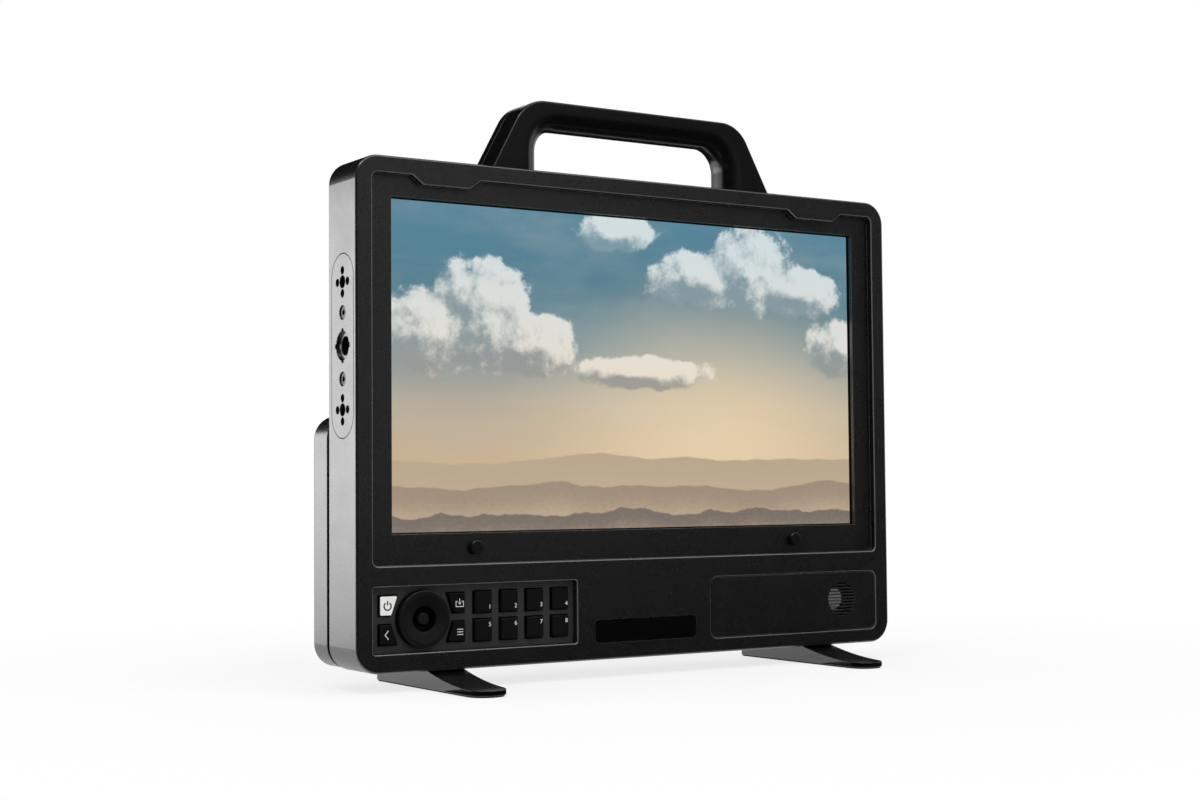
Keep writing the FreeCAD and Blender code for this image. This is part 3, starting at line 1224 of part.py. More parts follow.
def side_plates():
    """Flush mounting plates with threaded holes, anti-twist holes and a notched pocket."""
    for side, sign in SIDES:
        piece = Piece("side_plate_" + side)
        depth = mirrored(sign, "pill_inner", "casing_half")
        piece.box("plate", depth, about("pill_y", "pill_width"), about("pill_z", "2 * pill_end"))
        screw_face = signed(sign, "plate_screw_face")
        screw_sink = mirrored(sign, "plate_screw_face", "casing_half")
        for screw_at in plate_screw_places():
            piece.rod("screw_hole", "x", screw_at, depth, "middle_hole", True)
            piece.rod("screw_sink", "x", screw_at, screw_sink, "middle_head + thread_gap", True)
            flat_head_seat(piece, "x", screw_at, screw_face, "middle", -sign)
        for up in (-1, 1):
            piece.rod("plate_end", "x", ("pill_y", f"pill_z + {up} * pill_end"), depth, "pill_width / 2")
            hole_z = f"pill_z + {up} * quarter_spread"
            piece.rod("quarter_hole", "x", ("pill_y", hole_z), depth, "quarter_radius", True)
            pin_depth = mirrored(sign, "casing_half - pin_hole_depth", "casing_half")
            for y, z in ((-1, 0), (1, 0), (0, -1), (0, 1)):
                at = (f"pill_y + {y} * pin_hole_offset", f"{hole_z} + {z} * pin_hole_offset")
                piece.rod("pin_hole", "x", at, pin_depth, "pin_hole_radius", True)
        pocket_depth = mirrored(sign, "casing_half - rosette_depth", "casing_half")
        piece.rod("rosette", "x", ("pill_y", "pill_z"), pocket_depth, "rosette_radius", True)
        for y, z in ((-1, 0), (1, 0), (0, -1), (0, 1)):
            at = (f"pill_y + {y} * notch_offset", f"pill_z + {z} * notch_offset")
            piece.rod("notch", "x", at, pocket_depth, "notch_radius", True)
        piece.rod("large_bore", "x", ("pill_y", "pill_z"), depth, "large_radius", True)
        piece.done()


def handle():
    """An arched handle in two shells, front and rear, bolted down from inside the housing."""
    form = Piece("handle_form")
    base = "handle_base / 2"
    top = "handle_base / 2 - handle_lean"
    depth = ("handle_front_y", "handle_back_y")
    points = [(signed(-1, base), "casing_top"), (base, "casing_top"),
              (top, "handle_top"), (signed(-1, top), "handle_top")]
    form.slab("arch", "XZ_Plane", depth, points)
    form.round_edges("y", points[2:], "handle_shoulder")
    form.box("finger_gap", about("0", "grip_width"), depth, ("casing_top", "casing_top + grip_height"), True)
    gap_top = [(signed(sign, "grip_width / 2"), "casing_top + grip_height") for sign in (-1, 1)]
    form.round_edges("y", gap_top, "grip_corner")
    gap = {"x": about("0", "grip_width"), "z": ("casing_top", "casing_top + grip_height")}
    form.round_rim("y", "handle_front_y", "grip_round", gap)
    form.round_rim("y", "handle_back_y", "grip_round", gap)
    for level in depth:
        round_outer_edge(form, level)
    bolt_tools = [
        cylinder("bolt_hole", "large_hole", "bolt_length - wall + hole_end", (x, y, "casing_top"), (0, 0, 1))
        for x, y in handle_bolt_places()
    ]
    length = "flat_length + hole_end"
    places = shell_screw_places()
    screw_tools = [cylinder("shell_hole", "middle_hole", length, at, (0, -1, 0)) for at in places]
    seat_tools = [shell_screw_seat(at) for at in places]
    front_slab = handle_slab("front_slab", "handle_front_y", "handle_split_y")
    front = joined("handle_front_half", "Common", form.body, [front_slab])
    nodes.append(joined("handle_front", "Cut", front, bolt_tools + screw_tools))
    rear_slab = handle_slab("rear_slab", "handle_split_y", "handle_back_y")
    rear = joined("handle_rear_half", "Common", form.body, [rear_slab])
    nodes.append(joined("handle_rear", "Cut", rear, screw_tools + seat_tools))
    bolts = [screw("large_screw", "bolt_length", (x, y, "inner_top"), (0, 0, -1))
             for x, y in handle_bolt_places()]
    group("handle_bolts", bolts)


def round_outer_edge(form, level):
    """Round the edges of the arch's outer side at one face of the handle."""
    doc.recompute()
    height = value(level)
    foot = value("casing_top")
    gap_half = value("grip_width / 2 + grip_round")
    edges = []
    for index, edge in enumerate(form.body.Tip.Shape.Edges, start=1):
        ends = edge.BoundBox
        flat = max(abs(ends.YMin - height), abs(ends.YMax - height)) < NEAR
        outer = max(abs(ends.XMin), abs(ends.XMax)) > gap_half or ends.ZMin > value("handle_top") - NEAR
        if flat and outer and ends.ZMax > foot + NEAR and not inner_edge(edge):
            edges.append(f"Edge{index}")
    form.fillet(edges, "handle_edge")


def inner_edge(edge):
    """Whether an edge belongs to the finger gap's rounded border."""
    ends = edge.BoundBox
    reach = value("grip_width / 2 + grip_round") + NEAR
    crown = value("casing_top + grip_height + grip_round") + NEAR
    return max(abs(ends.XMin), abs(ends.XMax)) < reach and ends.ZMax < crown


def handle_slab(name, low, high):
    """The space that one shell of the handle takes up."""
    made = doc.addObject("Part::Box", name)
    bind(made, "Length", "handle_base")
    bind(made, "Width", f"({high}) - ({low})")
    bind(made, "Height", "handle_height")
    place(made, ("0 - handle_base / 2", low, "casing_top"))
    return made


def shell_screw_seat(at):
    """The cone for a flat screw head in the rear shell."""
    made = doc.addObject("Part::Cone", "shell_seat")
    bind(made, "Radius1", "middle_head + thread_gap")
    bind(made, "Radius2", "middle_hole")
    bind(made, "Height", "middle_head_height")
    made.Placement = Placement(Vector(), Rotation(AXES["z"], Vector(0, -1, 0)))
    place(made, at)
    return made


def feet():
    """Bar feet with a hollow-curved front, a rubber sole and two screws each."""
    soles = []
    for side, sign in SIDES:
        piece = Piece("foot_" + side)
        middle = signed(sign, "foot_spread")
        across = about(middle, "foot_width")
        along = about("0", "foot_length")
        piece.box("bar", across, along, ("sole_thickness", "foot_height"))
        foot_plan(piece, across, along, "foot_width / 2 - thread_gap", "foot_rear_corner")
        run = "(foot_reach + foot_shoulder)"
        rise = "(foot_height - foot_tip)"
        radius = f"({run} ^ 2 + {rise} ^ 2) / (2 * {rise})"
        piece.rod("hollow_top", "x", (along[0], f"foot_tip + {radius}"), across, radius, True)
        piece.slab("rear_slope", "YZ_Plane", across, [
            ("casing_back", "foot_height"),
            ("foot_length / 2", "foot_rear_height"),
            ("foot_length / 2", "foot_height"),
        ], True)
        for x, y in foot_screw_places(sign):
            piece.rod("screw_hole", "z", (x, y), ("sole_thickness", "foot_height"), "middle_hole", True)
            piece.rod("screw_sink", "z", (x, y), ("sole_thickness", "foot_screw_seat"),
                      "middle_head + thread_gap", True)
        piece.done()
        sole = Piece("sole_" + side)
        sole_across = about(middle, "foot_width - 2 * sole_inset")
        sole_along = about("0", "foot_length - 2 * sole_inset")
        sole.box("pad", sole_across, sole_along, ("0", "sole_thickness"))
        foot_plan(sole, sole_across, sole_along, "foot_width / 2 - sole_inset - thread_gap",
                  "foot_rear_corner - sole_inset")
        soles.append(sole.body)
    group("foot_soles", soles)


def foot_plan(piece, across, along, front_radius, rear_radius):
    """Round a foot's front end to a half circle and ease its rear corners."""
    piece.round_edges("z", [(x, along[0]) for x in across], front_radius)
    piece.round_edges("z", [(x, along[1]) for x in across], rear_radius)


def back_cover():
    piece = Piece("back_cover")
    depth = ("cover_front", "casing_back")
    piece.box("plate", about("0", "2 * (inner_half - cover_gap)"), depth,
              ("inner_bottom + cover_gap", "inner_top - cover_gap"),
              corners=("y", "casing_corner - wall - cover_gap"))
    for x, z in cover_screw_places():
        piece.rod("hole", "y", (x, z), depth, "small_hole", True)
        flat_head_seat(piece, "y", (x, z), "casing_back", "small", -1)
    for x, z in rear_screw_places():
        piece.rod("rear_hole", "y", (x, z), depth, "small_hole", True)
    piece.box("cable_slot", about("0", "cable_slot_width"), depth,
              about("casing_bottom + cable_slot_raise", "cable_slot_height"), True)
    run = "(vent_count - 1) * vent_pitch"
    slot = piece.box("vent", about(f"0 - {run} / 2", "vent_width"), depth,
                     about("casing_bottom + vent_raise", "vent_height"), True)
    piece.row("vents", slot, "x", run, "vent_count")
    piece.done()
    screws = [screw("small", "cover_screw_length", (x, "casing_back", z), (0, 1, 0), True)
              for x, z in cover_screw_places()]
    group("cover_screws", screws)


def rear_box():
    spacer = Piece("rear_spacer")
    gap = ("casing_back", "rear_front")
    inset = "waist_inset"
    inner = "(waist_inset + spacer_width)"
    spacer.box("ring", about("0", f"casing_width - 2 * {inset}"), gap,
               (f"rear_bottom + {inset}", f"rear_top - {inset}"), corners=("y", f"rear_corner - {inset}"))
    spacer.box("opening", about("0", f"casing_width - 2 * {inner}"), gap,
               (f"rear_bottom + {inner}", f"rear_top - {inner}"), True)
    shell = Piece("rear_box")
    across = about("0", "casing_width")
    shell.rounded_box("shell", across, ("rear_front", "rear_back"), ("rear_bottom", "rear_top"),
                      "rear_corner")
    shell.round_rim("y", "rear_back", "rear_edge")
    shell.rounded_box("hollow", about("0", "casing_width - 2 * rear_wall"), ("rear_front", "rear_inner"),
                      ("rear_bottom + rear_wall", "rear_top - rear_wall"), "rear_corner - rear_wall", True)
    screws = []
    for x, z in rear_screw_places():
        spacer.rod("hole", "y", (x, z), gap, "small_hole", True)
        shell.rod("post", "y", (x, z), ("rear_front", "rear_inner"), "rear_post_radius")
        shell.rod("post_hole", "y", (x, z), ("rear_front", "rear_back"), "small_hole", True)
        shell.rod("post_sink", "y", (x, z), ("rear_screw_seat", "rear_back"), "small_head + thread_gap", True)
        screws.append(screw("small", "rear_screw_length", (x, "rear_screw_seat", z), (0, 1, 0)))
    spacer.done()
    wall = ("rear_inner", "rear_back")
    for side, sign in SIDES:
        fan_vent(shell, signed(sign, "fan_spread"), wall)
    for x in bnc_places():
        shell.rod("video_hole", "y", (x, "port_z"), wall, "bnc_radius + port_fit", True)
    shell.rod("inlet_hole", "y", ("inlet_x", "port_z"), wall, "inlet_radius + port_fit", True)
    for x, z in battery_screw_places():
        shell.rod("battery_hole", "y", (x, z), wall, "middle_hole", True)
    shell.done()
    group("rear_box_screws", screws)


def fan_vent(shell, x, wall):
    """Slits in the rear wall behind a fan, cut to a round outline."""
    reach = int((value("fan_bore") - value("vent_slit")) / value("vent_slit_pitch"))
    for index in range(-reach, reach + 1):
        offset = f"abs({index}) * vent_slit_pitch + vent_slit / 2"
        length = f"2 * sqrt(fan_bore ^ 2 - ({offset}) ^ 2)"
        upright = about(f"fan_z + {index} * vent_slit_pitch", "vent_slit")
        shell.box("vent_slit", about(x, length), wall, upright, True)


def fans():
    frames = []
    for side, sign in SIDES:
        middle = (signed(sign, "fan_spread"), "0", "fan_z")
        frame = Piece("fan_frame_" + side, middle)
        square = about("0", "fan_size")
        plate = ("fan_front", "fan_front + fan_plate")
        frame.box("frame", square, ("fan_front", "rear_inner"), square, corners=("y", "fan_corner"))
        frame.rod("opening", "y", ("0", "0"), ("fan_front", "rear_inner"), "fan_bore", True)
        frame.box("strut", square, plate, about("0", "fan_strut"))
        frame.box("cross_strut", about("0", "fan_strut"), plate, square)
        frame.rod("motor_plate", "y", ("0", "0"), plate, "fan_motor")
        frame.rod("shaft", "y", ("0", "0"), ("fan_front", "rotor_back - rotor_lift"), "fan_shaft")
        frames.append(frame.body)
        rotor = Piece("fan_rotor_" + side, middle)
        rotor.rod("hub", "y", ("0", "0"), ("rotor_front", "rotor_back"), "rotor_hub")
        radius = "fan_bore - fan_tip_gap"
        blade = rotor.box("blade", ("rotor_hub - blade_root", radius), about("0", "blade_thickness"),
                          about("0", "blade_chord"))
        blade.Placement.Rotation = Rotation(AXES["x"], value("90 - blade_pitch"))
        turn_blade(blade)
        rotor.circle("blades", blade, "blade_count")
        rotor.rod("bore", "y", ("0", "0"), ("rotor_front", "rotor_back"), "fan_shaft + running_gap", True)
        rotor.done()
    group("fan_frames", frames)


def turn_blade(blade):
    """Set a pitched blade so that its middle line lies on the rotor's mid plane."""
    lift = "(rotor_front + rotor_back) / 2"
    bind(blade, "Placement.Base.y", f"{lift} - blade_thickness / 2 * cos(90 - blade_pitch)"
                                    " + blade_chord / 2 * sin(90 - blade_pitch)")
    bind(blade, "Placement.Base.z", "0 - blade_thickness / 2 * sin(90 - blade_pitch)"
                                    " - blade_chord / 2 * cos(90 - blade_pitch)")


def connectors():
    board = Piece("connector_board")
    board.box("sheet", ("0 - bnc_first - bnc_pitch / 2", "inlet_x + inlet_flange_width / 2"),
              ("io_board_front", "io_board_back"), about("port_z", "io_board_height"))
    board.done()
    solids = []
    for x in bnc_places():
        piece = Piece("video_connector", (x, "0", "port_z"))
        mouth = "rear_back + bnc_length"
        floor = f"{mouth} - bnc_bore_depth"
        piece.turn("barrel", [
            ("0", "io_board_back"),
            ("bnc_radius", "io_board_back"),
            ("bnc_radius", "rear_back"),
            ("bnc_flange", "rear_back"),
            ("bnc_flange", "rear_back + bnc_nut"),
            ("bnc_radius", "rear_back + bnc_nut"),
            ("bnc_radius", mouth),
            ("bnc_bore", mouth),
            ("bnc_bore", floor),
            ("bnc_contact", floor),
            ("bnc_contact", f"{mouth} - bnc_nut"),
            ("0", f"{mouth} - bnc_nut"),
        ])
        lug_y = f"{mouth} - bnc_lug_back"
        for sign in (-1, 1):
            span = mirrored(sign, "bnc_radius - bnc_lug_rise", "bnc_radius + bnc_lug_rise")
            piece.rod("lug", "x", (lug_y, "0"), span, "bnc_lug")
        solids.append(piece.body)
    group("video_connectors", solids)
    inlet = Piece("power_inlet")
    face = "rear_back + inlet_flange_depth"
    inlet.box("flange", about("inlet_x", "inlet_flange_width"), ("rear_back", face),
              about("port_z", "inlet_flange_height"), corners=("y", "inlet_flange_corner"))
    inlet.rod("body", "y", ("inlet_x", "port_z"), ("io_board_back", "rear_back"), "inlet_radius")
    floor = f"{face} - inlet_socket_depth"
    inlet.rod("socket", "y", ("inlet_x", "port_z"), (floor, face), "inlet_socket", True)
    reach = "inlet_pin_circle * sqrt(0.5)"
    for across in (-1, 1):
        for up in (-1, 1):
            at = (f"inlet_x + {across} * {reach}", f"port_z + {up} * {reach}")
            inlet.rod("pin", "y", at, (floor, f"{floor} + inlet_pin_length"), "inlet_pin")
    inlet.done()


def battery_plate():
    """A plate with a wedge slot for a clip-on battery, a contact block and a release tab."""
    plate = Piece("battery_plate")
    depth = ("rear_back", "battery_back")
    upright = about("battery_z", "battery_height")
    plate.box("plate", about("0", "battery_width"), depth, upright, corners=("y", "battery_corner"))
    plate.round_rim("y", "battery_back", "battery_edge")
    foot = f"{upright[1]} - wedge_length"
    plate.slab("wedge", "XZ_Plane", ("battery_floor", "battery_back"), [
        ("0 - wedge_bottom / 2", foot),
        ("wedge_bottom / 2", foot),
        ("wedge_top / 2", upright[1]),
        ("0 - wedge_top / 2", upright[1]),
    ], True)
    plate.box("contact_pocket", about("0", "contact_width + 2 * port_fit"),
              ("battery_back - contact_depth", "battery_back"),
              about("contact_z", "contact_height + 2 * port_fit"), True)
    gap = "2 * release_gap"
    plate.box("release_pocket",
              ("release_x - release_length - release_travel - release_gap", "battery_width / 2"),
              about("release_y + release_depth / 2", f"release_depth + {gap}"),
              about("battery_z", f"release_height + {gap}"), True)
    for x, z in battery_screw_places():
        plate.rod("screw_hole", "y", (x, z), depth, "middle_hole", True)
        plate.rod("screw_sink", "y", (x, z), ("battery_screw_seat", "battery_back"),
                  "middle_head + thread_gap", True)
    plate.done()
    contacts = Piece("battery_contacts")
    contacts.box("block", about("0", "contact_width"), ("battery_back - contact_depth", "battery_back"),
                 about("contact_z", "contact_height"))
    blade_depth = ("battery_back - contact_depth / 2", "battery_back + contact_blade_length")
    for index in range(4):
        contacts.box("blade", about(f"({index} - 1.5) * contact_pitch", "contact_blade"), blade_depth,
                     about("contact_z", "contact_height - 2 * contact_blade"))
    contacts.done()
    tab = Piece("release_tab")
    tab.box("tab", ("release_x - release_length", "release_x"), ("release_y", "release_y + release_depth"),
            about("battery_z", "release_height"))
    tab.round_rim("x", "release_x", "battery_edge")
    tab.done()


def electronics():
    board = Piece("main_board")
    depth = ("board_front", "board_back")
    board.box("sheet", about("0", "board_width"), depth, about("screen_z", "board_height"))
    for x, z in board_screw_places():
        board.rod("hole", "y", (x, z), depth, "small_hole", True)
    board.done()
    sink = Piece("heat_sink")
    upright = about("screen_z", "sink_height")
    base_back = "board_back + sink_base"
    sink.box("base", about("0", "sink_width"), ("board_back", base_back), upright)
    fin = sink.box("fin", ("0 - sink_width / 2", "fin_thickness - sink_width / 2"),
                   (base_back, f"{base_back} + fin_height"), upright)
    sink.row("fins", fin, "x", "sink_width - fin_thickness", "fin_count")
    sink.done()


def inner_screws():
    """Small screws of the panel brackets, the key board and the main board."""
    seats = [(x, "plate_back + bracket_sheet", z) for x, z in bracket_screw_places()]
    seats += [(x, "key_board_back", z) for x, z in key_post_places()]
    seats += [(x, "board_back", z) for x, z in board_screw_places()]
    group("inner_screws", [screw("small", "small_length", at, (0, 1, 0)) for at in seats])


def middle_screws():
    """Flat screws of the side plates and the handle, cap screws of the feet and the battery plate."""
    flat = [screw("middle", "flat_length", at, (0, 1, 0), True) for at in shell_screw_places()]
    for side, sign in SIDES:
        face = signed(sign, "plate_screw_face")
        flat += [screw("middle", "flat_length", (face,) + at, (sign, 0, 0), True)
                 for at in plate_screw_places()]
    group("flat_screws", flat)
    cap = [screw("middle", "middle_length", (x, "battery_screw_seat", z), (0, 1, 0))
           for x, z in battery_screw_places()]
    for side, sign in SIDES:
        cap += [screw("middle", "middle_length", (x, y, "foot_screw_seat"), (0, 0, -1))
                for x, y in foot_screw_places(sign)]
    group("cap_screws", cap)


front_housing()
guard_studs()
screen_stack()
panel_brackets()
keypad_panel()
corner_keys()
function_keys()
key_board()
control_ring()
joystick()
name_plaque()
loudspeaker()
side_plates()
handle()
feet()
back_cover()
rear_box()
fans()
connectors()
battery_plate()
electronics()
inner_screws()
middle_screws()
doc.recompute()

# Every object has to be sound before anything is written
for item in doc.Objects:
    if "Invalid" in item.State or "Error" in item.State:
        raise RuntimeError(f"{item.Label} did not build: {item.State}")
for node in nodes:
    if node.Shape.isNull() or not node.Shape.isValid():
        raise RuntimeError(f"{node.Label} has no sound shape")

os.makedirs("parts", exist_ok=True)
for node in nodes:
    node.Shape.exportStep(f"parts/{node.Label}.step")
    print(node.Label, len(node.Shape.Solids), round(node.Shape.Volume, 1))
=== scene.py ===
import math

import bmesh
import bpy
from mathutils import Matrix, Vector


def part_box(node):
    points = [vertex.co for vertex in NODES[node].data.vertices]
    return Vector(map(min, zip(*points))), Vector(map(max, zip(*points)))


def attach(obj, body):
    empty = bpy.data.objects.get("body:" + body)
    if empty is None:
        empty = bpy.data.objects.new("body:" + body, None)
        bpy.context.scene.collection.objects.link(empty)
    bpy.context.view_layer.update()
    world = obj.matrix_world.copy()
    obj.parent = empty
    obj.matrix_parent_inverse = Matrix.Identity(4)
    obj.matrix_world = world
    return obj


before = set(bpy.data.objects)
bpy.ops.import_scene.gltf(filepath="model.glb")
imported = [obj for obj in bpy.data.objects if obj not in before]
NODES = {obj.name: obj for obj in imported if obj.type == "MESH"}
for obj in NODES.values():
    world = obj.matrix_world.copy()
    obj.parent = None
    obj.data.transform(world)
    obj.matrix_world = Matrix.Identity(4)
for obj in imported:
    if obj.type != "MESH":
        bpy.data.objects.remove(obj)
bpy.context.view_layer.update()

# The looks of a camera field monitor: finishes for every part of the frame, the
# lit picture, the signs on the keys, the studio and the camera. Metres.

MM = 0.001
DARK_CORNER_KEYS = ["back_key", "input_key", "menu_key"]
KEYS_IN_ROW = 4
FUNCTION_KEYS = [f"function_key_{place}" for place in range(1, 2 * KEYS_IN_ROW + 1)]

# Colours

# The display curve: straight up to the knee, and a power above it
SRGB_KNEE = 0.04045
SRGB_SLOPE = 12.92
SRGB_LIFT = 0.055
SRGB_POWER = 2.4


def srgb(red, green, blue):
    """A linear colour from display values of 0 to 255."""
    linear = []
    for part in (red, green, blue):
        share = part / 255
        if share <= SRGB_KNEE:
            linear.append(share / SRGB_SLOPE)
        else:
            linear.append(((share + SRGB_LIFT) / (1 + SRGB_LIFT)) ** SRGB_POWER)
    return (*linear, 1.0)


def grey(level):
    """A linear grey."""
    return (level, level, level, 1.0)


def dimmed(colour, share):
    """A colour at a share of its brightness."""
    return (*(part * share for part in colour[:3]), 1.0)


def brightened(colour, share):
    """A colour moved by a share of the way to white."""
    return (*(min(1.0, part + (1 - part) * share) for part in colour[:3]), 1.0)


# Materials

# Places of the two colours and of the result among a mix node's sockets
MIX_FIRST, MIX_SECOND, MIX_RESULT = 6, 7, 2
# Places of the two shaders among a mix shader's sockets
SHADER_FIRST, SHADER_SECOND = 1, 2
# Cosine between the eased and the flat normal where an edge begins, and where it is full
EDGE_BEGINS, EDGE_FULL = 0.995, 0.80
EDGE_SAMPLES = 6
# Largest part of the normal where a slant begins, and where it is full
SLANT_BEGINS, SLANT_FULL = 0.985, 0.90


class Finish:
    """A node material round one principled shader."""

    def __init__(self, name, **constants):
        self.material = bpy.data.materials.new(name)
        self.material.use_nodes = True
        self.tree = self.material.node_tree
        self.tree.nodes.clear()
        self.shader = self.add("ShaderNodeBsdfPrincipled")
        self.output = self.add("ShaderNodeOutputMaterial")
        self.link(self.shader.outputs["BSDF"], self.output.inputs["Surface"])
        self.place = self.add("ShaderNodeTexCoord").outputs["Object"]
        self.normal = None
        for socket, constant in constants.items():
            self.shader.inputs[socket.replace("_", " ")].default_value = constant

    def add(self, kind, **settings):
        """A new node of a kind."""
        node = self.tree.nodes.new(kind)
        for setting, choice in settings.items():
            setattr(node, setting, choice)
        return node

    def link(self, source, target):
        self.tree.links.new(source, target)

    def plug(self, source, socket):
        """Link a source to a socket, or set the socket to a fixed value."""
        if isinstance(source, bpy.types.NodeSocket):
            self.link(source, socket)
        else:
            socket.default_value = source

    # Fields

    def mapped(self, scale=(1, 1, 1), shift=(0, 0, 0), turn=(0, 0, 0)):
        """Object coordinates stretched, turned and then moved."""
        node = self.add("ShaderNodeMapping")
        node.inputs["Scale"].default_value = scale
        node.inputs["Rotation"].default_value = turn
        node.inputs["Location"].default_value = shift
        self.link(self.place, node.inputs["Vector"])
        return node.outputs["Vector"]

    def noise(self, scale, detail, roughness=0.55, at=None):
        """A cloudy field of 0 to 1."""
        node = self.add("ShaderNodeTexNoise")
        node.inputs["Scale"].default_value = scale
        node.inputs["Detail"].default_value = detail
        node.inputs["Roughness"].default_value = roughness
        self.link(at or self.place, node.inputs["Vector"])
        return node.outputs["Fac"]

    def lumps(self, scale, detail, roughness, at):
        """Distance from the middles of soft round cells."""
        node = self.add("ShaderNodeTexVoronoi", feature="SMOOTH_F1", normalize=True)
        node.inputs["Scale"].default_value = scale
        node.inputs["Detail"].default_value = detail
        node.inputs["Roughness"].default_value = roughness
        self.link(at, node.inputs["Vector"])
        return node.outputs["Distance"]

    def parts(self, vector):
        """A vector's X, Y and Z."""
        node = self.add("ShaderNodeSeparateXYZ")
        self.link(vector, node.inputs["Vector"])
        return node.outputs

    def face_normal(self):
        return self.add("ShaderNodeNewGeometry").outputs["Normal"]

    def length(self, vector):
        node = self.add("ShaderNodeVectorMath", operation="LENGTH")
        self.link(vector, node.inputs[0])
        return node.outputs["Value"]

    def from_axis(self, middle):
        """Distance from an axis along Y through a middle."""
        return self.length(self.mapped(scale=(1, 0, 1), shift=(-middle.x, 0, -middle.z)))

    def math(self, operation, first, second=0.0, third=0.0):
        node = self.add("ShaderNodeMath", operation=operation)
        for socket, source in zip(node.inputs, (first, second, third)):
            self.plug(source, socket)
        return node.outputs["Value"]

    def span(self, source, low, high, start=0.0, end=1.0):
        """A value spread from one range to another and held inside it."""
        node = self.add("ShaderNodeMapRange", clamp=True, interpolation_type="SMOOTHSTEP")
        for socket, limit in (("From Min", low), ("From Max", high), ("To Min", start), ("To Max", end)):
            node.inputs[socket].default_value = limit
        self.link(source, node.inputs["Value"])
        return node.outputs["Result"]

    def inside(self, share, margin):
        """1 where a share of a whole is further than a margin from both ends."""
        return self.math("MULTIPLY", self.math("GREATER_THAN", share, margin),
                         self.math("LESS_THAN", share, 1 - margin))

    def within(self, low, high):
        """1 inside a box of object coordinates."""
        total = 1.0
        for part, start, end in zip(self.parts(self.place), low, high):
            reach = self.math("ABSOLUTE", self.math("SUBTRACT", part, (start + end) / 2))
            total = self.math("MULTIPLY", self.math("LESS_THAN", reach, (end - start) / 2), total)
        return total

    def slanted(self):
        """1 where the surface faces well away from all three axes."""
        widest = 0.0
        for part in self.parts(self.face_normal()):
            widest = self.math("MAXIMUM", self.math("ABSOLUTE", part), widest)
        return self.span(widest, low=SLANT_BEGINS, high=SLANT_FULL)

    # Colours

    def ramp(self, source, stops):
        """A colour ramp of (position, colour) stops."""
        node = self.add("ShaderNodeValToRGB")
        points = node.color_ramp.elements
        while len(points) < len(stops):
            points.new(1.0)
        while len(points) > len(stops):
            points.remove(points[-1])
        for point, (position, colour) in zip(points, stops):
            point.position = position
            point.color = colour
        self.link(source, node.inputs["Fac"])
        return node.outputs["Color"]

    def mix(self, share, first, second):
        """Two colours mixed; either can be a fixed colour."""
        node = self.add("ShaderNodeMix", data_type="RGBA")
        self.plug(share, node.inputs["Factor"])
        self.plug(first, node.inputs[MIX_FIRST])
        self.plug(second, node.inputs[MIX_SECOND])
        return node.outputs[MIX_RESULT]

    def laid_over(self, ground, cover, strength, tint):
        """A tint laid over a ground where a cover is, at a strength."""
        return self.mix(self.math("MULTIPLY", cover, strength), ground, tint)

    def mottled(self, field, tone, dark, light):
        """A grey that runs from a dark to a light share of a tone."""
        return self.mix(field, grey(tone * dark), grey(tone * light))

    # Surface

    def paint(self, colour):
        self.link(colour, self.shader.inputs["Base Color"])

    def lit(self, colour):
        self.link(colour, self.shader.inputs["Emission Color"])

    def roughen(self, source, low, high):
        node = self.add("ShaderNodeMapRange", clamp=True)
        node.inputs["To Min"].default_value = low
        node.inputs["To Max"].default_value = high
        self.link(source, node.inputs["Value"])
        self.link(node.outputs["Result"], self.shader.inputs["Roughness"])

    def bump(self, height, depth, strength):
        """Add a relief of a depth in metres to the surface."""
        node = self.add("ShaderNodeBump")
        node.inputs["Distance"].default_value = depth
        node.inputs["Strength"].default_value = strength
        self.link(height, node.inputs["Height"])
        if self.normal:
            self.link(self.normal, node.inputs["Normal"])
        self.normal = node.outputs["Normal"]
        self.link(self.normal, self.shader.inputs["Normal"])

    def eased_edges(self, radius):
        """Ease sharp edges by a radius, and return how close a point is to one."""
        eased = self.add("ShaderNodeBevel", samples=EDGE_SAMPLES)
        eased.inputs["Radius"].default_value = radius
        self.normal = eased.outputs["Normal"]
        self.link(self.normal, self.shader.inputs["Normal"])
        turned_by = self.add("ShaderNodeVectorMath", operation="DOT_PRODUCT")
        self.link(self.normal, turned_by.inputs[0])
        self.link(self.face_normal(), turned_by.inputs[1])
        return self.span(turned_by.outputs["Value"], low=EDGE_BEGINS, high=EDGE_FULL)


def anodised(name, tone, roughness, ior=1.95, worn=grey(0.055), grainy=0.08, highlight_zone=None):
    """Bead-blasted, black anodised aluminium with brighter edges: the worn colour on sharp edges is wear,
    and where it is set bright it is a painted highlight.

    Inside a highlight zone, a box, the rounded edges also get the worn colour as a painted highlight.
    """
    made = Finish(name, IOR=ior)
    edge = made.eased_edges(radius=0.45 * MM)
    # Painted highlight: the rounded edges inside the zone take the worn colour, as if they caught light
    if highlight_zone:
        painted_highlight = made.math("MULTIPLY", made.slanted(), made.within(*highlight_zone))
        edge = made.math("MAXIMUM", edge, painted_highlight)
    grain = made.noise(scale=2600, detail=2, roughness=0.6)
    body = made.mottled(made.noise(scale=22, detail=4), tone, dark=0.86, light=1.16)
    specks = made.span(grain, low=0.55, high=0.8, end=0.15)
    speckled = made.mix(specks, body, grey(tone * 1.8))
    # On the edges the worn colour is wear, and where it is set bright it is painted highlight
    made.paint(made.mix(edge, speckled, worn))
    made.roughen(made.noise(scale=70, detail=5), low=roughness - 0.05, high=roughness + 0.06)
    made.bump(grain, depth=0.012 * MM, strength=grainy)
    return made.material


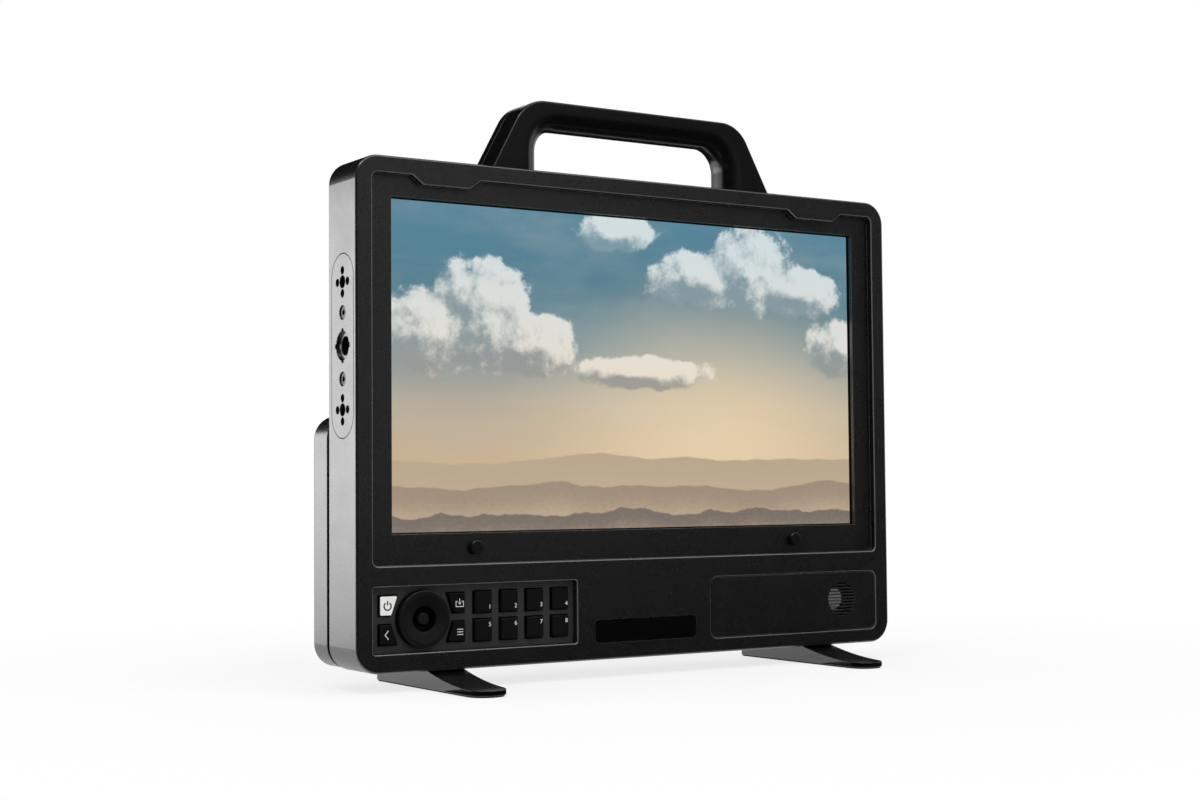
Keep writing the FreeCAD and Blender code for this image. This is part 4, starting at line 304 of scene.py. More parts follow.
def moulded(name, tone, roughness, grain_scale=1400, depth=0.02 * MM, worn=grey(0.03), ior=1.5):
    """Moulded plastic with a fine spark-eroded grain."""
    made = Finish(name, IOR=ior)
    edge = made.eased_edges(radius=0.25 * MM)
    body = made.mottled(made.noise(scale=40, detail=4), tone, dark=0.82, light=1.2)
    made.paint(made.mix(edge, body, worn))
    made.roughen(made.noise(scale=120, detail=4), low=roughness - 0.06, high=roughness + 0.07)
    made.bump(made.noise(grain_scale, detail=2, roughness=0.5), depth, strength=0.6)
    return made.material


def rubber(name, tone):
    """Dull black rubber with fine pits."""
    made = Finish(name, IOR=1.33)
    pits = made.noise(scale=900, detail=4, roughness=0.7)
    made.paint(made.mottled(pits, tone, dark=0.7, light=1.5))
    made.roughen(made.noise(scale=200, detail=3), low=0.62, high=0.85)
    made.bump(pits, depth=0.05 * MM, strength=0.7)
    return made.material


def gloss_black(name, tone):
    """Polished black acrylic with a trace of dust and fine wipe marks."""
    made = Finish(name, IOR=1.49)
    dust = made.span(made.noise(scale=1500, detail=2, roughness=0.7), low=0.66, high=0.8)
    made.paint(made.mottled(dust, tone, dark=1, light=3))
    wiped = made.noise(scale=60, detail=4, roughness=0.6, at=made.mapped(scale=(0.3, 1, 2.0)))
    made.roughen(wiped, low=0.05, high=0.14)
    return made.material


def metal(name, colour, roughness, brush=(1, 1, 1), wear=0.32):
    """Bare or blackened metal, brushed along the axis that is stretched least; wear brightens its edges."""
    made = Finish(name, Metallic=1.0)
    edge = made.eased_edges(radius=0.15 * MM)
    streak = made.noise(scale=900, detail=4, roughness=0.6, at=made.mapped(scale=brush))
    body = made.mix(streak, dimmed(colour, share=0.75), colour)
    made.paint(made.mix(edge, body, brightened(colour, wear)))
    made.roughen(streak, low=roughness - 0.08, high=roughness + 0.1)
    made.bump(streak, depth=0.006 * MM, strength=0.5)
    return made.material


def turned(name, tone, middle, pitch=0.22 * MM):
    """Satin black metal turned on a lathe about an axis along Y, with grooves of a pitch."""
    made = Finish(name, IOR=1.5)
    edge = made.eased_edges(radius=0.3 * MM)
    turns = made.math("MULTIPLY", made.from_axis(middle), math.tau / pitch)
    groove = made.span(made.math("SINE", turns), low=-1.0, high=1.0)
    body = made.mottled(made.noise(scale=90, detail=4), tone, dark=0.8, light=1.25)
    made.paint(made.mix(edge, body, grey(0.01)))
    made.roughen(made.noise(scale=300, detail=3), low=0.36, high=0.48)
    made.bump(groove, depth=0.006 * MM, strength=0.5)
    return made.material


def circuit(name):
    """Green solder mask over straight copper tracks."""
    made = Finish(name, IOR=1.5)
    cells = made.add("ShaderNodeTexBrick", offset=0.37)
    cells.inputs["Scale"].default_value = 220
    cells.inputs["Mortar Size"].default_value = 0.035
    cells.inputs["Color1"].default_value = (0.006, 0.075, 0.03, 1)
    cells.inputs["Color2"].default_value = (0.008, 0.095, 0.04, 1)
    cells.inputs["Mortar"].default_value = (0.02, 0.19, 0.07, 1)
    upright = made.mapped(turn=(math.radians(90), 0, 0))
    made.link(upright, cells.inputs["Vector"])
    made.paint(cells.outputs["Color"])
    made.roughen(made.noise(scale=150, detail=3), low=0.25, high=0.4)
    made.bump(cells.outputs["Fac"], depth=0.03 * MM, strength=0.5)
    return made.material


def clear_glass(name):
    """Clear cover glass with faint smears."""
    made = Finish(name, IOR=1.45, Transmission_Weight=1.0, Base_Color=(0.97, 0.985, 0.98, 1))
    smear = made.noise(scale=35, detail=5, roughness=0.6, at=made.mapped(scale=(1, 1, 0.4)))
    made.roughen(smear, low=0.0, high=0.03)
    return made.material


def lit_key(name, front, face_depth=0.3 * MM):
    """A black key whose face, from its front to a small depth behind it, is lit from behind."""
    made = Finish(name, IOR=1.5, Emission_Strength=0.55)
    facing = made.span(made.parts(made.face_normal())["Y"], low=-0.9, high=-0.98)
    outermost = made.math("LESS_THAN", made.parts(made.place)["Y"], front + face_depth)
    face = made.math("MULTIPLY", facing, outermost)
    body = made.mix(made.noise(scale=260, detail=3), srgb(184, 184, 181), srgb(196, 196, 192))
    shown = made.mix(face, grey(0.004), body)
    made.paint(shown)
    made.lit(shown)
    made.roughen(made.noise(scale=500, detail=2), low=0.35, high=0.5)
    return made.material


def speaker_dome(name, middle, radius, rim=0.1 * MM):
    """A black paper cone round a metal dome, about an axis along Y; the dome is a pale disc painted in place
    of the metal's reflection, and the rim is half its soft edge.
    """
    made = Finish(name, IOR=1.5)
    dome = made.span(made.from_axis(middle), low=radius + rim, high=radius - rim)
    fibre = made.noise(scale=800, detail=4, roughness=0.6)
    paper = made.mix(fibre, grey(0.004), grey(0.012))
    # Painted reflection: the dome is pale in place of the light its metal would reflect
    dome_reflection = made.mix(made.noise(scale=90, detail=3), grey(0.88), grey(0.94))
    made.paint(made.mix(dome, paper, dome_reflection))
    made.roughen(fibre, low=0.3, high=0.5)
    made.bump(fibre, depth=0.02 * MM, strength=0.4)
    return made.material


def marking(name, colour, glow):
    """Print that can be faintly lit from behind."""
    made = Finish(name, IOR=1.5, Emission_Strength=glow)
    worn = made.mix(made.noise(scale=2500, detail=2), dimmed(colour, share=0.85), colour)
    made.paint(worn)
    made.lit(worn)
    made.roughen(made.noise(scale=700, detail=2), low=0.4, high=0.55)
    return made.material


# The picture on the display

PICTURE_MARGIN = 4 * MM
PICTURE_STRENGTH = 1.06
# Sky as (share of the picture's height, colour)
SKY_TONES = [
    (0.0, srgb(168, 146, 122)),
    (0.22, srgb(196, 172, 142)),
    (0.40, srgb(176, 166, 150)),
    (0.56, srgb(116, 142, 150)),
    (0.74, srgb(78, 122, 140)),
    (1.0, srgb(86, 130, 150)),
]
# The glow of the low sun: its middle in picture widths and heights, its reach in heights
GLOW_ACROSS, GLOW_UP = 0.68, 0.30
GLOW_REACH = 0.95
GLOW_FLATNESS = 1.5
GLOW_STRENGTH = 0.6
GLOW_TINT = srgb(242, 216, 176)
# A thin veil of high cloud, drawn out sideways
VEIL_ACROSS, VEIL_UP = 0.6, 1.8
VEIL_STRENGTH = 0.2
VEIL_TINT = srgb(200, 196, 186)
# Cloud heaps as (across, up, half width, half height) in picture heights
CLOUD_HEAPS = [
    (0.14, 0.60, 0.22, 0.12), (0.33, 0.66, 0.17, 0.17), (0.50, 0.58, 0.15, 0.09),
    (1.12, 0.80, 0.20, 0.09), (1.31, 0.84, 0.17, 0.14), (1.50, 0.78, 0.17, 0.08),
    (0.80, 0.93, 0.14, 0.06), (1.70, 0.60, 0.16, 0.09), (0.88, 0.50, 0.24, 0.05),
]
HEAP_BLEND = 0.25
LUMP_LEVEL, LUMP_WEIGHT = 0.42, 0.9
WISP_LEVEL, WISP_WEIGHT = 0.5, 1.5
CLOUD_STRENGTH = 0.9
# The cloud is compared with itself moved this far, in picture heights, to be lit from the upper right
LIGHT_SHIFT = (-0.028, -0.03)
# Lit and shaded cloud as (share of the picture's height, colour)
CLOUD_LIT = [(0.3, srgb(236, 214, 184)), (0.6, srgb(226, 222, 214)), (0.9, srgb(214, 222, 224))]
CLOUD_SHADED = [(0.3, srgb(160, 146, 132)), (0.6, srgb(140, 150, 152)), (0.9, srgb(122, 150, 162))]
# Ridges as crest height, wobble, noise scale and colour
RIDGES = [
    (0.17, 0.13, 1.7, srgb(180, 162, 138)),
    (0.09, 0.12, 2.6, srgb(154, 137, 120)),
    (0.01, 0.12, 4.2, srgb(116, 107, 100)),
]
# Each ridge cuts the noise this many times its crest height further along
RIDGE_STEP = 40
RIDGE_BLUR = 0.003
LEAF_STRETCH = 1.6
LEAF_WEIGHT = 0.5
HAZE_TINT = srgb(190, 168, 142)


def cloud_depth(made, panel, shift):
    """How deep a point lies in the heaped cloud, moved by a shift, and below zero outside it."""
    low, high = panel
    height = high.z - low.z
    left = low.x / height + shift[0]
    foot = low.z / height + shift[1]
    total = None
    for across, up, half_width, half_height in CLOUD_HEAPS:
        place = made.mapped(scale=(1 / height / half_width, 0, 1 / height / half_height),
                            shift=(-(left + across) / half_width, 0, -(foot + up) / half_height))
        depth = made.math("SUBTRACT", 1.0, made.length(place))
        total = made.math("SMOOTH_MAX", total, depth, HEAP_BLEND) if total else depth
    place = made.mapped(scale=(1 / height, 0, 1 / height), shift=(-shift[0], 0, -shift[1]))
    lump = made.math("SUBTRACT", LUMP_LEVEL, made.lumps(scale=7.0, detail=3.0, roughness=0.55, at=place))
    wisp = made.math("SUBTRACT", made.noise(scale=9, detail=10, roughness=0.68, at=place), WISP_LEVEL)
    rough = made.math("ADD", made.math("MULTIPLY", lump, LUMP_WEIGHT),
                      made.math("MULTIPLY", wisp, WISP_WEIGHT))
    return made.math("ADD", total, rough)


def low_sun(made, panel, sky):
    """A glow low on the right, where the sun has just gone down."""
    low, high = panel
    width, height = high.x - low.x, high.z - low.z
    across = low.x + GLOW_ACROSS * width
    up = low.z + GLOW_UP * height
    place = made.mapped(scale=(1 / height, 0, GLOW_FLATNESS / height),
                        shift=(-across / height, 0, -GLOW_FLATNESS * up / height))
    glow = made.span(made.length(place), low=GLOW_REACH, high=0.0)
    return made.laid_over(sky, glow, GLOW_STRENGTH, GLOW_TINT)


def high_veil(made, height, sky):
    """Thin cloud all over the sky."""
    place = made.mapped(scale=(VEIL_ACROSS / height, 0, VEIL_UP / height))
    veil = made.span(made.noise(scale=2.4, detail=6, roughness=0.6, at=place), low=0.42, high=0.75)
    return made.laid_over(sky, veil, VEIL_STRENGTH, VEIL_TINT)


def heaped_cloud(made, panel, up, sky):
    """Heaped cloud, lit from the upper right."""
    heap = cloud_depth(made, panel, (0, 0))
    moved = cloud_depth(made, panel, LIGHT_SHIFT)
    relief = made.span(made.math("SUBTRACT", heap, moved), low=-0.28, high=0.3)
    cover = made.span(heap, low=0.02, high=0.24)
    cloud = made.mix(relief, made.ramp(up, CLOUD_SHADED), made.ramp(up, CLOUD_LIT))
    return made.laid_over(sky, cover, CLOUD_STRENGTH, cloud)


def hazy_hill(made, height, up, sky, ridge):
    """A hill before the sky, paler towards its foot where haze lies."""
    crest, wobble, scale, tint = ridge
    along = made.mapped(scale=(1 / height, 0, 0), shift=(crest * RIDGE_STEP, 0, 0))
    wave = made.math("MULTIPLY", made.noise(scale, detail=6, roughness=0.5, at=along), wobble)
    below = made.math("SUBTRACT", made.math("ADD", wave, crest), up)
    wood = made.mapped(scale=(1 / height, 0, LEAF_STRETCH / height))
    leaves = made.math("MULTIPLY", made.noise(scale=60, detail=4, roughness=0.6, at=wood), LEAF_WEIGHT)
    hazy = made.math("ADD", made.span(below, low=0.0, high=0.14, end=0.8), leaves)
    slope = made.mix(made.span(hazy, low=0.15, high=1.2), tint, HAZE_TINT)
    return made.mix(made.span(below, low=-RIDGE_BLUR, high=RIDGE_BLUR), sky, slope)


def picture(name, panel):
    """A made-up evening sky with heaped cloud over hazy hills, shown on the display."""
    low, high = panel
    width, height = high.x - low.x, high.z - low.z
    made = Finish(name, IOR=1.5, Roughness=0.3, Emission_Strength=PICTURE_STRENGTH, Base_Color=grey(0.004))
    unit = made.mapped(scale=(1 / width, 0, 1 / height), shift=(-low.x / width, 0, -low.z / height))
    shares = made.parts(unit)
    across, up = shares["X"], shares["Z"]
    shown = made.ramp(up, SKY_TONES)
    shown = low_sun(made, panel, shown)
    shown = high_veil(made, height, shown)
    shown = heaped_cloud(made, panel, up, shown)
    for ridge in RIDGES:
        shown = hazy_hill(made, height, up, shown, ridge)
    # Black outside the picture
    across_in = made.inside(across, PICTURE_MARGIN / width)
    up_in = made.inside(up, PICTURE_MARGIN / height)
    made.lit(made.mix(made.math("MULTIPLY", across_in, up_in), grey(0.002), shown))
    return made.material


# Finishes of the CAD nodes

HOUSING_BLACK = {"tone": 0.005, "roughness": 0.27}
# The housing's rounded edges get a painted highlight this far inside its outline, from before its front to a
# little behind it
HIGHLIGHT_INSET = 6 * MM
HIGHLIGHT_BEFORE = 1 * MM
HIGHLIGHT_BEHIND = 0.9 * MM
DOME_RADIUS = 6.0 * MM


def dress(material, *names):
    """Give CAD nodes a finish."""
    for name in names:
        slots = NODES[name].data.materials
        slots.clear()
        slots.append(material)


def middle_of(node):
    """The middle of a node's box."""
    low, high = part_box(node)
    return (low + high) / 2


def front_highlight_zone():
    """The box in which the housing's front edges get a painted highlight."""
    low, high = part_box("front_housing")
    return (Vector((low.x + HIGHLIGHT_INSET, low.y - HIGHLIGHT_BEFORE, low.z + HIGHLIGHT_INSET)),
            Vector((high.x - HIGHLIGHT_INSET, low.y + HIGHLIGHT_BEHIND, high.z - HIGHLIGHT_INSET)))


def dress_case():
    """Housing, cover plates, handle, feet and their screws."""
    # The housing's bright worn colour is partly wear and partly a painted highlight along its edges
    housing = anodised("black_anodised", worn=grey(0.11), highlight_zone=front_highlight_zone(), **HOUSING_BLACK)
    plate = anodised("plate_anodised", worn=grey(0.01), **HOUSING_BLACK)
    cover = anodised("cover_anodised", worn=grey(0.008), **HOUSING_BLACK)
    # The handle's bright worn colour is a painted highlight along its sharp edges
    handle = anodised("handle_anodised", tone=0.003, roughness=0.24, ior=1.5, worn=grey(0.3))
    foot = anodised("foot_anodised", tone=0.002, roughness=0.13, ior=1.9, worn=grey(0.003), grainy=0.1)
    screw = metal("screw_black", colour=(0.045, 0.045, 0.048, 1), roughness=0.32)
    dress(housing, "front_housing", "back_cover", "rear_box")
    dress(plate, "side_plate_left", "side_plate_right")
    dress(cover, "speaker_cover")
    dress(handle, "handle_front", "handle_rear")
    dress(foot, "foot_left", "foot_right")
    dress(anodised("stud_black", tone=0.003, roughness=0.28, ior=1.6), "guard_studs")
    dress(moulded("spacer_black", tone=0.006, roughness=0.6), "rear_spacer")
    dress(rubber("sole_rubber", tone=0.012), "foot_soles")
    dress(gloss_black("plaque_gloss", tone=0.002), "name_plaque")
    dress(screw, "handle_bolts", "cover_screws", "rear_box_screws", "inner_screws", "flat_screws",
          "cap_screws")


def dress_display():
    """Glass, lit picture and what holds them."""
    sheet = metal("bracket_sheet", colour=(0.6, 0.6, 0.62, 1), roughness=0.35, brush=(0.05, 1, 1))
    dress(clear_glass("cover_glass_clear"), "cover_glass")
    dress(picture("lit_picture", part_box("display_panel")), "display_panel")
    dress(rubber("gasket_foam", tone=0.01), "glass_gasket")
    dress(moulded("tray_white", tone=0.6, roughness=0.55, worn=grey(0.7)), "backlight_tray")
    dress(sheet, "panel_brackets")


def dress_controls():
    """Key panel, keys, ring, joystick and what lies behind them."""
    key = moulded("key_black", tone=0.0025, roughness=0.48, grain_scale=1800, depth=0.012 * MM,
                  worn=grey(0.008), ior=1.38)
    joystick = moulded("joystick_black", tone=0.003, roughness=0.5, worn=grey(0.006))
    stick = metal("stick_steel", colour=(0.03, 0.03, 0.032, 1), roughness=0.4, wear=0.04)
    dress(moulded("keypad_black", tone=0.03, roughness=0.5), "keypad_panel")
    dress(key, *DARK_CORNER_KEYS, *FUNCTION_KEYS)
    dress(lit_key("power_key_lit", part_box("power_key")[0].y), "power_key")
    dress(turned("ring_black", tone=0.0035, middle=middle_of("control_ring")), "control_ring")
    dress(joystick, "joystick_base", "joystick_carrier", "joystick_gimbal")
    dress(stick, "joystick_stick")
    dress(rubber("cap_rubber", tone=0.005), "joystick_cap")
    dress(moulded("switch_black", tone=0.02, roughness=0.4), "key_switches", "encoder_body")


def dress_speaker():
    """Loudspeaker behind its grille."""
    dress(metal("driver_steel", colour=(0.12, 0.12, 0.13, 1), roughness=0.4), "speaker_driver")
    dress(speaker_dome("speaker_dome_pale", middle_of("speaker_cone"), DOME_RADIUS), "speaker_cone")


def dress_rear():
    """Boards, fans, connectors, battery plate and heat sink."""
    nylon = moulded("battery_nylon", tone=0.015, roughness=0.55, grain_scale=700, depth=0.05 * MM,
                    worn=grey(0.04))
    release = moulded("release_black", tone=0.02, roughness=0.45, grain_scale=900, depth=0.03 * MM)
    sink = metal("sink_aluminium", colour=(0.55, 0.56, 0.58, 1), roughness=0.35, brush=(1, 1, 0.05))
    fan = moulded("fan_black", tone=0.016, roughness=0.4)
    dress(circuit("board_green"), "key_board", "connector_board", "main_board")
    dress(fan, "fan_rotor_left", "fan_rotor_right", "fan_frames")
    dress(metal("nickel", colour=(0.62, 0.6, 0.55, 1), roughness=0.22), "video_connectors")
    dress(moulded("inlet_black", tone=0.012, roughness=0.45), "power_inlet")
    dress(nylon, "battery_plate")
    dress(release, "release_tab")
    dress(metal("contact_brass", colour=(0.72, 0.53, 0.25, 1), roughness=0.28), "battery_contacts")
    dress(sink, "heat_sink")


# Signs on the keys, drawn in millimetres from a key's middle

PRINT_RISE = 0.04 * MM
PRINT_SINK = 0.03 * MM
# A mitre grows no longer than in a bend of this cosine
MITRE_LEAST = 0.35
FIGURE_SIZE = 3.1
FIGURE_ACROSS = 3.6
FIGURE_LIFT = 2.6


def stroke(points, width):
    """The outline of a line of a width through points, with mitred bends."""
    points = [Vector(point) for point in points]
    left, right = [], []
    for index, point in enumerate(points):
        before = (point - points[index - 1]).normalized() if index else None
        after = (points[index + 1] - point).normalized() if index + 1 < len(points) else None
        first, last = before or after, after or before
        along = (first + last).normalized()
        across = Vector((-along.y, along.x))
        reach = width / 2 / max(MITRE_LEAST, along.dot(first))
        left.append(point + across * reach)
        right.append(point - across * reach)
    return left + right[::-1]


def arc(middle, radius, start, end, steps=28):
    """Points on an arc, angles in degrees from the right, counted up."""
    points = []
    for step in range(steps + 1):
        angle = math.radians(start + (end - start) * step / steps)
        points.append(Vector(middle) + radius * Vector((math.cos(angle), math.sin(angle))))
    return points


def key_face(key):
    """The middle of a key's front."""
    low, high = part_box(key)
    return Vector(((low.x + high.x) / 2, low.y, (low.z + high.z) / 2))


def object_from(mesh, name):
    """A new object in the scene that takes over an edited mesh."""
    data = bpy.data.meshes.new(name)
    mesh.to_mesh(data)
    mesh.free()
    made = bpy.data.objects.new(name, data)
    bpy.context.scene.collection.objects.link(made)
    return made


def ribbon_mesh(name, outlines, middle):
    """A thin raised print: each outline lists one side of a line and then the other, backwards."""
    mesh = bmesh.new()
    for outline in outlines:
        count = len(outline)
        layers = []
        for depth in (middle.y - PRINT_RISE, middle.y + PRINT_SINK):
            layers.append([mesh.verts.new((middle.x + x, depth, middle.z + z)) for x, z in outline])
        front, back = layers
        for index in range(count // 2 - 1):
            ends = (index, index + 1, count - 2 - index, count - 1 - index)
            mesh.faces.new([front[end] for end in ends])
            mesh.faces.new([back[end] for end in reversed(ends)])
        for index in range(count):
            following = (index + 1) % count
            mesh.faces.new((front[following], front[index], back[index], back[following]))
    bmesh.ops.recalc_face_normals(mesh, faces=mesh.faces)
    return object_from(mesh, name)


def sign(key, lines, width, material, shift):
    """A sign drawn in lines on a key."""
    outlines = []
    for line in lines:
        points = [(Vector(point) + Vector(shift)) * MM for point in line]
        outlines.append(stroke(points, width * MM))
    made = ribbon_mesh(key + "_sign", outlines, key_face(key))
    made.data.materials.append(material)
    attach(made, key)


def figure(key, text, shift, material):
    """A figure on a key."""
    curve = bpy.data.curves.new(key + "_letter", "FONT")
    curve.body = text
    curve.size = FIGURE_SIZE * MM
    curve.align_x = "CENTER"
    curve.align_y = "CENTER"
    curve.extrude = (PRINT_RISE + PRINT_SINK) / 2
    letter = bpy.data.objects.new(key + "_letter", curve)
    bpy.context.scene.collection.objects.link(letter)
    bpy.context.view_layer.update()
    data = bpy.data.meshes.new_from_object(letter.evaluated_get(bpy.context.evaluated_depsgraph_get()))
    bpy.data.objects.remove(letter)
    middle = key_face(key) + Vector((shift[0], 0, shift[1])) * MM
    middle.y += (PRINT_SINK - PRINT_RISE) / 2
    data.transform(Matrix.Translation(middle) @ Matrix.Rotation(math.radians(90), 4, "X"))
    made = bpy.data.objects.new(key + "_number", data)
    data.materials.clear()
    data.materials.append(material)
    bpy.context.scene.collection.objects.link(made)
    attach(made, key)


def power_lines():
    """An open ring with a bar in its gap."""
    ring = arc(middle=(0, -0.2), radius=1.9, start=125, end=415)
    bar = [(0, 0.3), (0, 2.3)]
    return [ring, bar]


def back_lines():
    """An angle that points left."""
    half_width, half_height = 0.9, 2.1
    return [[(half_width, half_height), (-half_width, 0), (half_width, -half_height)]]


def input_lines():
    """A tray with an arrow that points down into it."""
    half_width, lip, rim, bottom = 2.1, 1.1, 0.9, -1.7
    tip, tail, barb, barb_up = -0.5, 2.3, 0.75, 0.3
    tray = [(-lip, rim), (-half_width, rim), (-half_width, bottom),
            (half_width, bottom), (half_width, rim), (lip, rim)]
    shaft = [(0, tail), (0, tip)]
    head = [(-barb, barb_up), (0, tip), (barb, barb_up)]
    return [tray, shaft, head]


def menu_lines():
    """Three bars, one above the other."""
    half_width, step = 1.7, 1.3
    return [[(-half_width, level), (half_width, level)] for level in (step, 0, -step)]


def key_signs():
    """Pale signs and figures on the black keys, and a dark sign on the lit one."""
    pale = marking("print_pale", srgb(205, 205, 202), glow=0.25)
    dark = marking("print_dark", srgb(30, 28, 26), glow=0.0)
    sign("power_key", power_lines(), width=0.7, material=dark, shift=(-0.7, 0))
    sign("back_key", back_lines(), width=0.4, material=pale, shift=(-1.2, 0))
    sign("input_key", input_lines(), width=0.32, material=pale, shift=(1.8, -0.2))
    sign("menu_key", menu_lines(), width=0.34, material=pale, shift=(2.0, -0.25))
    for index, key in enumerate(FUNCTION_KEYS):
        lift = -FIGURE_LIFT if index < KEYS_IN_ROW else FIGURE_LIFT
        figure(key, str(index + 1), (FIGURE_ACROSS, lift), pale)


# Studio

# The card ahead is grey where the housing's front reflects it: X in metres and tone
FRONT_TONES = ((-0.6, 0.01), (0.1, 0.25), (0.6, 0.38), (1.4, 0.06))
CARD_TONES = ((0, 0.006),)
CARD_THREAD = grey(0.004)
# Strength of the white that is seen, and of the white that lights the rest
SEEN_WHITE = 1.0
AMBIENT = 0.72
# Lamps and cards on the floor lie just above it
ON_FLOOR = 0.001
OVER_FLOOR = 0.004


def aim(thing, at, target, forward):
    """Place a thing and turn its forward axis to a target."""
    thing.location = at
    thing.rotation_mode = "QUATERNION"
    thing.rotation_quaternion = (Vector(target) - Vector(at)).to_track_quat(forward, "Y")


def lamp(name, at, target, size, power):
    """A flat lamp that the camera doesn't see."""
    light = bpy.data.lights.new(name, "AREA")
    light.shape = "RECTANGLE"
    light.size, light.size_y = size
    light.energy = power
    made = bpy.data.objects.new(name, light)
    aim(made, at, target, "-Z")
    made.visible_camera = False
    bpy.context.scene.collection.objects.link(made)


def seen_rays(tree):
    """1 for camera, glossy and transmission rays, which show the white background."""
    path = tree.nodes.new("ShaderNodeLightPath")
    total = path.outputs["Is Camera Ray"]
    for name in ("Is Glossy Ray", "Is Transmission Ray"):
        larger = tree.nodes.new("ShaderNodeMath")
        larger.operation = "MAXIMUM"
        tree.links.new(total, larger.inputs[0])
        tree.links.new(path.outputs[name], larger.inputs[1])
        total = larger.outputs["Value"]
    return total


def white_world():
    """White all round, at full strength where it is seen."""
    world = bpy.data.worlds.new("white_studio")
    bpy.context.scene.world = world
    world.use_nodes = True
    tree = world.node_tree
    tree.nodes.clear()
    output = tree.nodes.new("ShaderNodeOutputWorld")
    mixer = tree.nodes.new("ShaderNodeMixShader")
    for socket, strength in ((SHADER_FIRST, AMBIENT), (SHADER_SECOND, SEEN_WHITE)):
        light = tree.nodes.new("ShaderNodeBackground")
        light.inputs["Color"].default_value = grey(1)
        light.inputs["Strength"].default_value = strength
        tree.links.new(light.outputs["Background"], mixer.inputs[socket])
    tree.links.new(seen_rays(tree), mixer.inputs["Fac"])
    tree.links.new(mixer.outputs["Shader"], output.inputs["Surface"])


def pale_floor(radius, near, far, least):
    """A round pale floor that keeps the shadow and fades into the white background.

    Up to a near distance from its middle it has the least share of white, and past a far one only white.
    """
    mesh = bmesh.new()
    bmesh.ops.create_circle(mesh, cap_ends=True, segments=96, radius=radius)
    floor = object_from(mesh, "floor")
    made = Finish("floor_pale", IOR=1.3, Roughness=0.9, Specular_IOR_Level=0.0)
    made.paint(made.mix(made.noise(scale=6, detail=3), grey(0.88), grey(0.9)))
    fade = made.span(made.length(made.place), low=near, high=far, start=least)
    white = made.add("ShaderNodeEmission")
    blend = made.add("ShaderNodeMixShader")
    made.link(made.math("MULTIPLY", fade, seen_rays(made.tree)), blend.inputs["Fac"])
    made.link(made.shader.outputs["BSDF"], blend.inputs[SHADER_FIRST])
    made.link(white.outputs["Emission"], blend.inputs[SHADER_SECOND])
    made.link(blend.outputs["Shader"], made.output.inputs["Surface"])
    floor.data.materials.append(made.material)


def flag(name, at, target, size, tones=CARD_TONES):
    """A dark card out of the picture, seen only in reflections; its tones run along X as (metres, tone)."""
    mesh = bmesh.new()
    bmesh.ops.create_grid(mesh, x_segments=1, y_segments=1, size=0.5)
    card = object_from(mesh, name)
    card.data.transform(Matrix.Diagonal((*size, 1, 1)))
    aim(card, at, target, "Z")
    card.visible_camera = False
    card.visible_shadow = False
    card.visible_diffuse = False
    made = Finish(name + "_cloth", IOR=1.3, Roughness=1.0, Specular_IOR_Level=0.0)
    # A card that faces +Y has its own X against the frame's
    width = size[0]
    along = made.math("MULTIPLY_ADD", made.parts(made.place)["X"], -1 / width, 0.5)
    shade = made.ramp(along, [(0.5 + (x - at[0]) / width, grey(tone)) for x, tone in tones])
    made.paint(made.mix(made.noise(scale=400, detail=3), shade, CARD_THREAD))
    card.data.materials.append(made.material)


def studio_lamps():
    """A key lamp ahead, boxes behind at the left, upright and on the floor, and a strip for the handle."""
    lamp("key", at=(0.2, -1.25, 1.6), target=(0, 0, 0.15), size=(2.0, 1.2), power=12)
    lamp("side_box", at=(-1.25, 1.05, 0.2), target=(-0.17, 0.02, 0.15), size=(1.5, 0.7), power=10)
    lamp("top_strip", at=(-0.97, -0.35, 1.85), target=(-0.08, 0, 0.28), size=(0.9, 0.25), power=6)
    lamp("floor_box", at=(-0.6, 0.7, OVER_FLOOR), target=(-0.6, 0.7, 1), size=(0.7, 1.0), power=2.4)


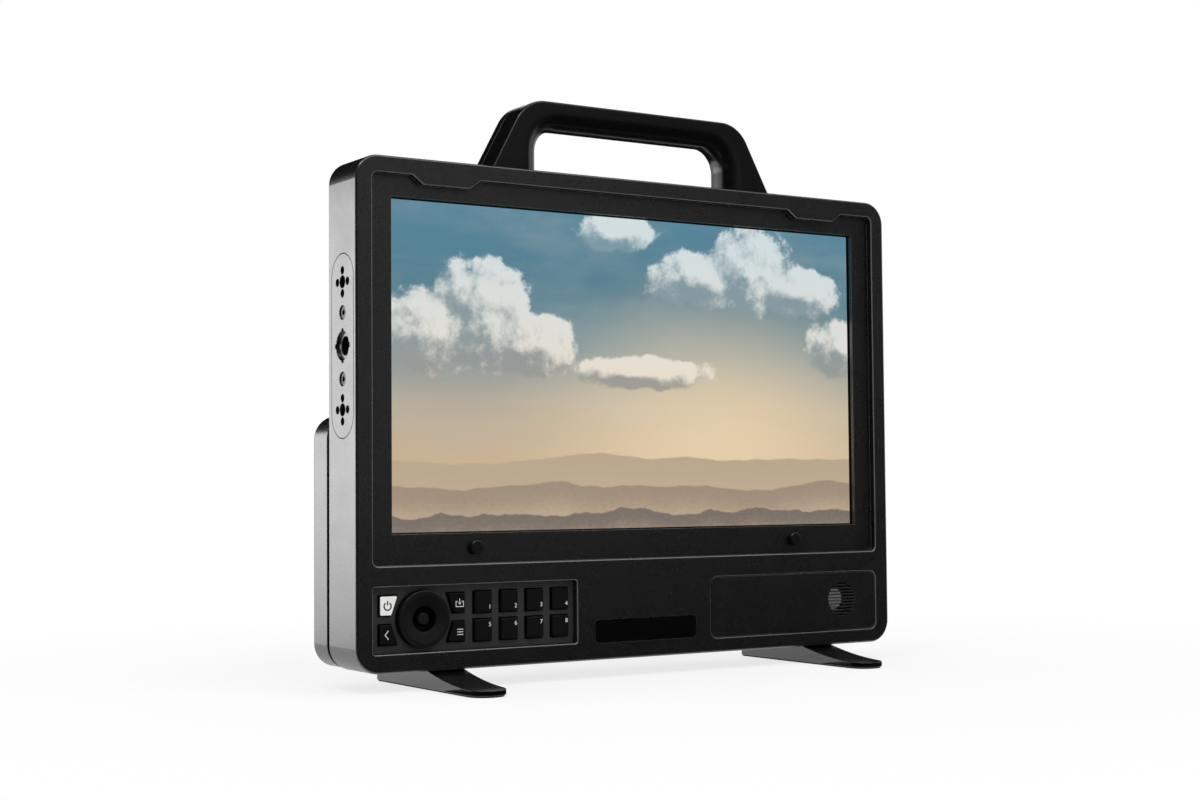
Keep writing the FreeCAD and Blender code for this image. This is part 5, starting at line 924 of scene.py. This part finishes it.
def studio_cards():
    """Dark cards ahead, at the left, behind high and low, above, and on the floor ahead and behind."""
    flag("front_flag", at=(-1.05, -1.4, 1.1), target=(-1.05, 0, 1.1), size=(6.9, 2.2), tones=FRONT_TONES)
    flag("left_flag", at=(-2.0, -0.7, 1.1), target=(0, -0.7, 1.1), size=(2.0, 2.2))
    flag("back_flag", at=(-1.45, 1.7, 1.7), target=(-1.45, 0, 1.7), size=(4.1, 2.2))
    flag("back_low_flag", at=(1.2, 1.7, 0.4), target=(1.2, 0, 0.4), size=(2.0, 0.8))
    flag("back_floor_flag", at=(1.0, 1.2, ON_FLOOR), target=(1.0, 1.2, 1), size=(2.4, 1.8))
    flag("roof_flag", at=(-0.3, 0.8, 2.2), target=(-0.3, 0.8, 0), size=(6, 1.8))
    flag("floor_flag", at=(0.5, -0.71, ON_FLOOR), target=(0.5, -0.71, 1), size=(4.4, 1.38))


# Camera, at the photograph's angle: millimetres for the lens and its sensor

LENS = 56.40
SENSOR = 36.0
YAW, PITCH, ROLL = (math.radians(angle) for angle in (32.845, 2.685, -0.447))
STAND = Vector((-561.95, -835.1, 98.9)) * MM


def photo_camera():
    """The camera that looks from its stand as the photograph does."""
    data = bpy.data.cameras.new("photo_camera")
    data.lens = LENS
    data.sensor_width = SENSOR
    data.clip_start = 0.01
    data.clip_end = 60
    camera = bpy.data.objects.new("photo_camera", data)
    bpy.context.scene.collection.objects.link(camera)
    ahead = Vector((math.sin(YAW) * math.cos(PITCH), math.cos(YAW) * math.cos(PITCH), math.sin(PITCH)))
    level = Vector((math.cos(YAW), -math.sin(YAW), 0))
    above = level.cross(ahead)
    right = math.cos(ROLL) * level + math.sin(ROLL) * above
    up = -math.sin(ROLL) * level + math.cos(ROLL) * above
    turn = Matrix((right, up, -ahead)).transposed()
    camera.matrix_world = Matrix.Translation(STAND) @ turn.to_4x4()
    bpy.context.scene.camera = camera


dress_case()
dress_display()
dress_controls()
dress_speaker()
dress_rear()
key_signs()
white_world()
pale_floor(radius=4.0, near=0.2, far=0.6, least=0.76)
studio_lamps()
studio_cards()
photo_camera()
bpy.context.scene.view_settings.view_transform = "Standard"
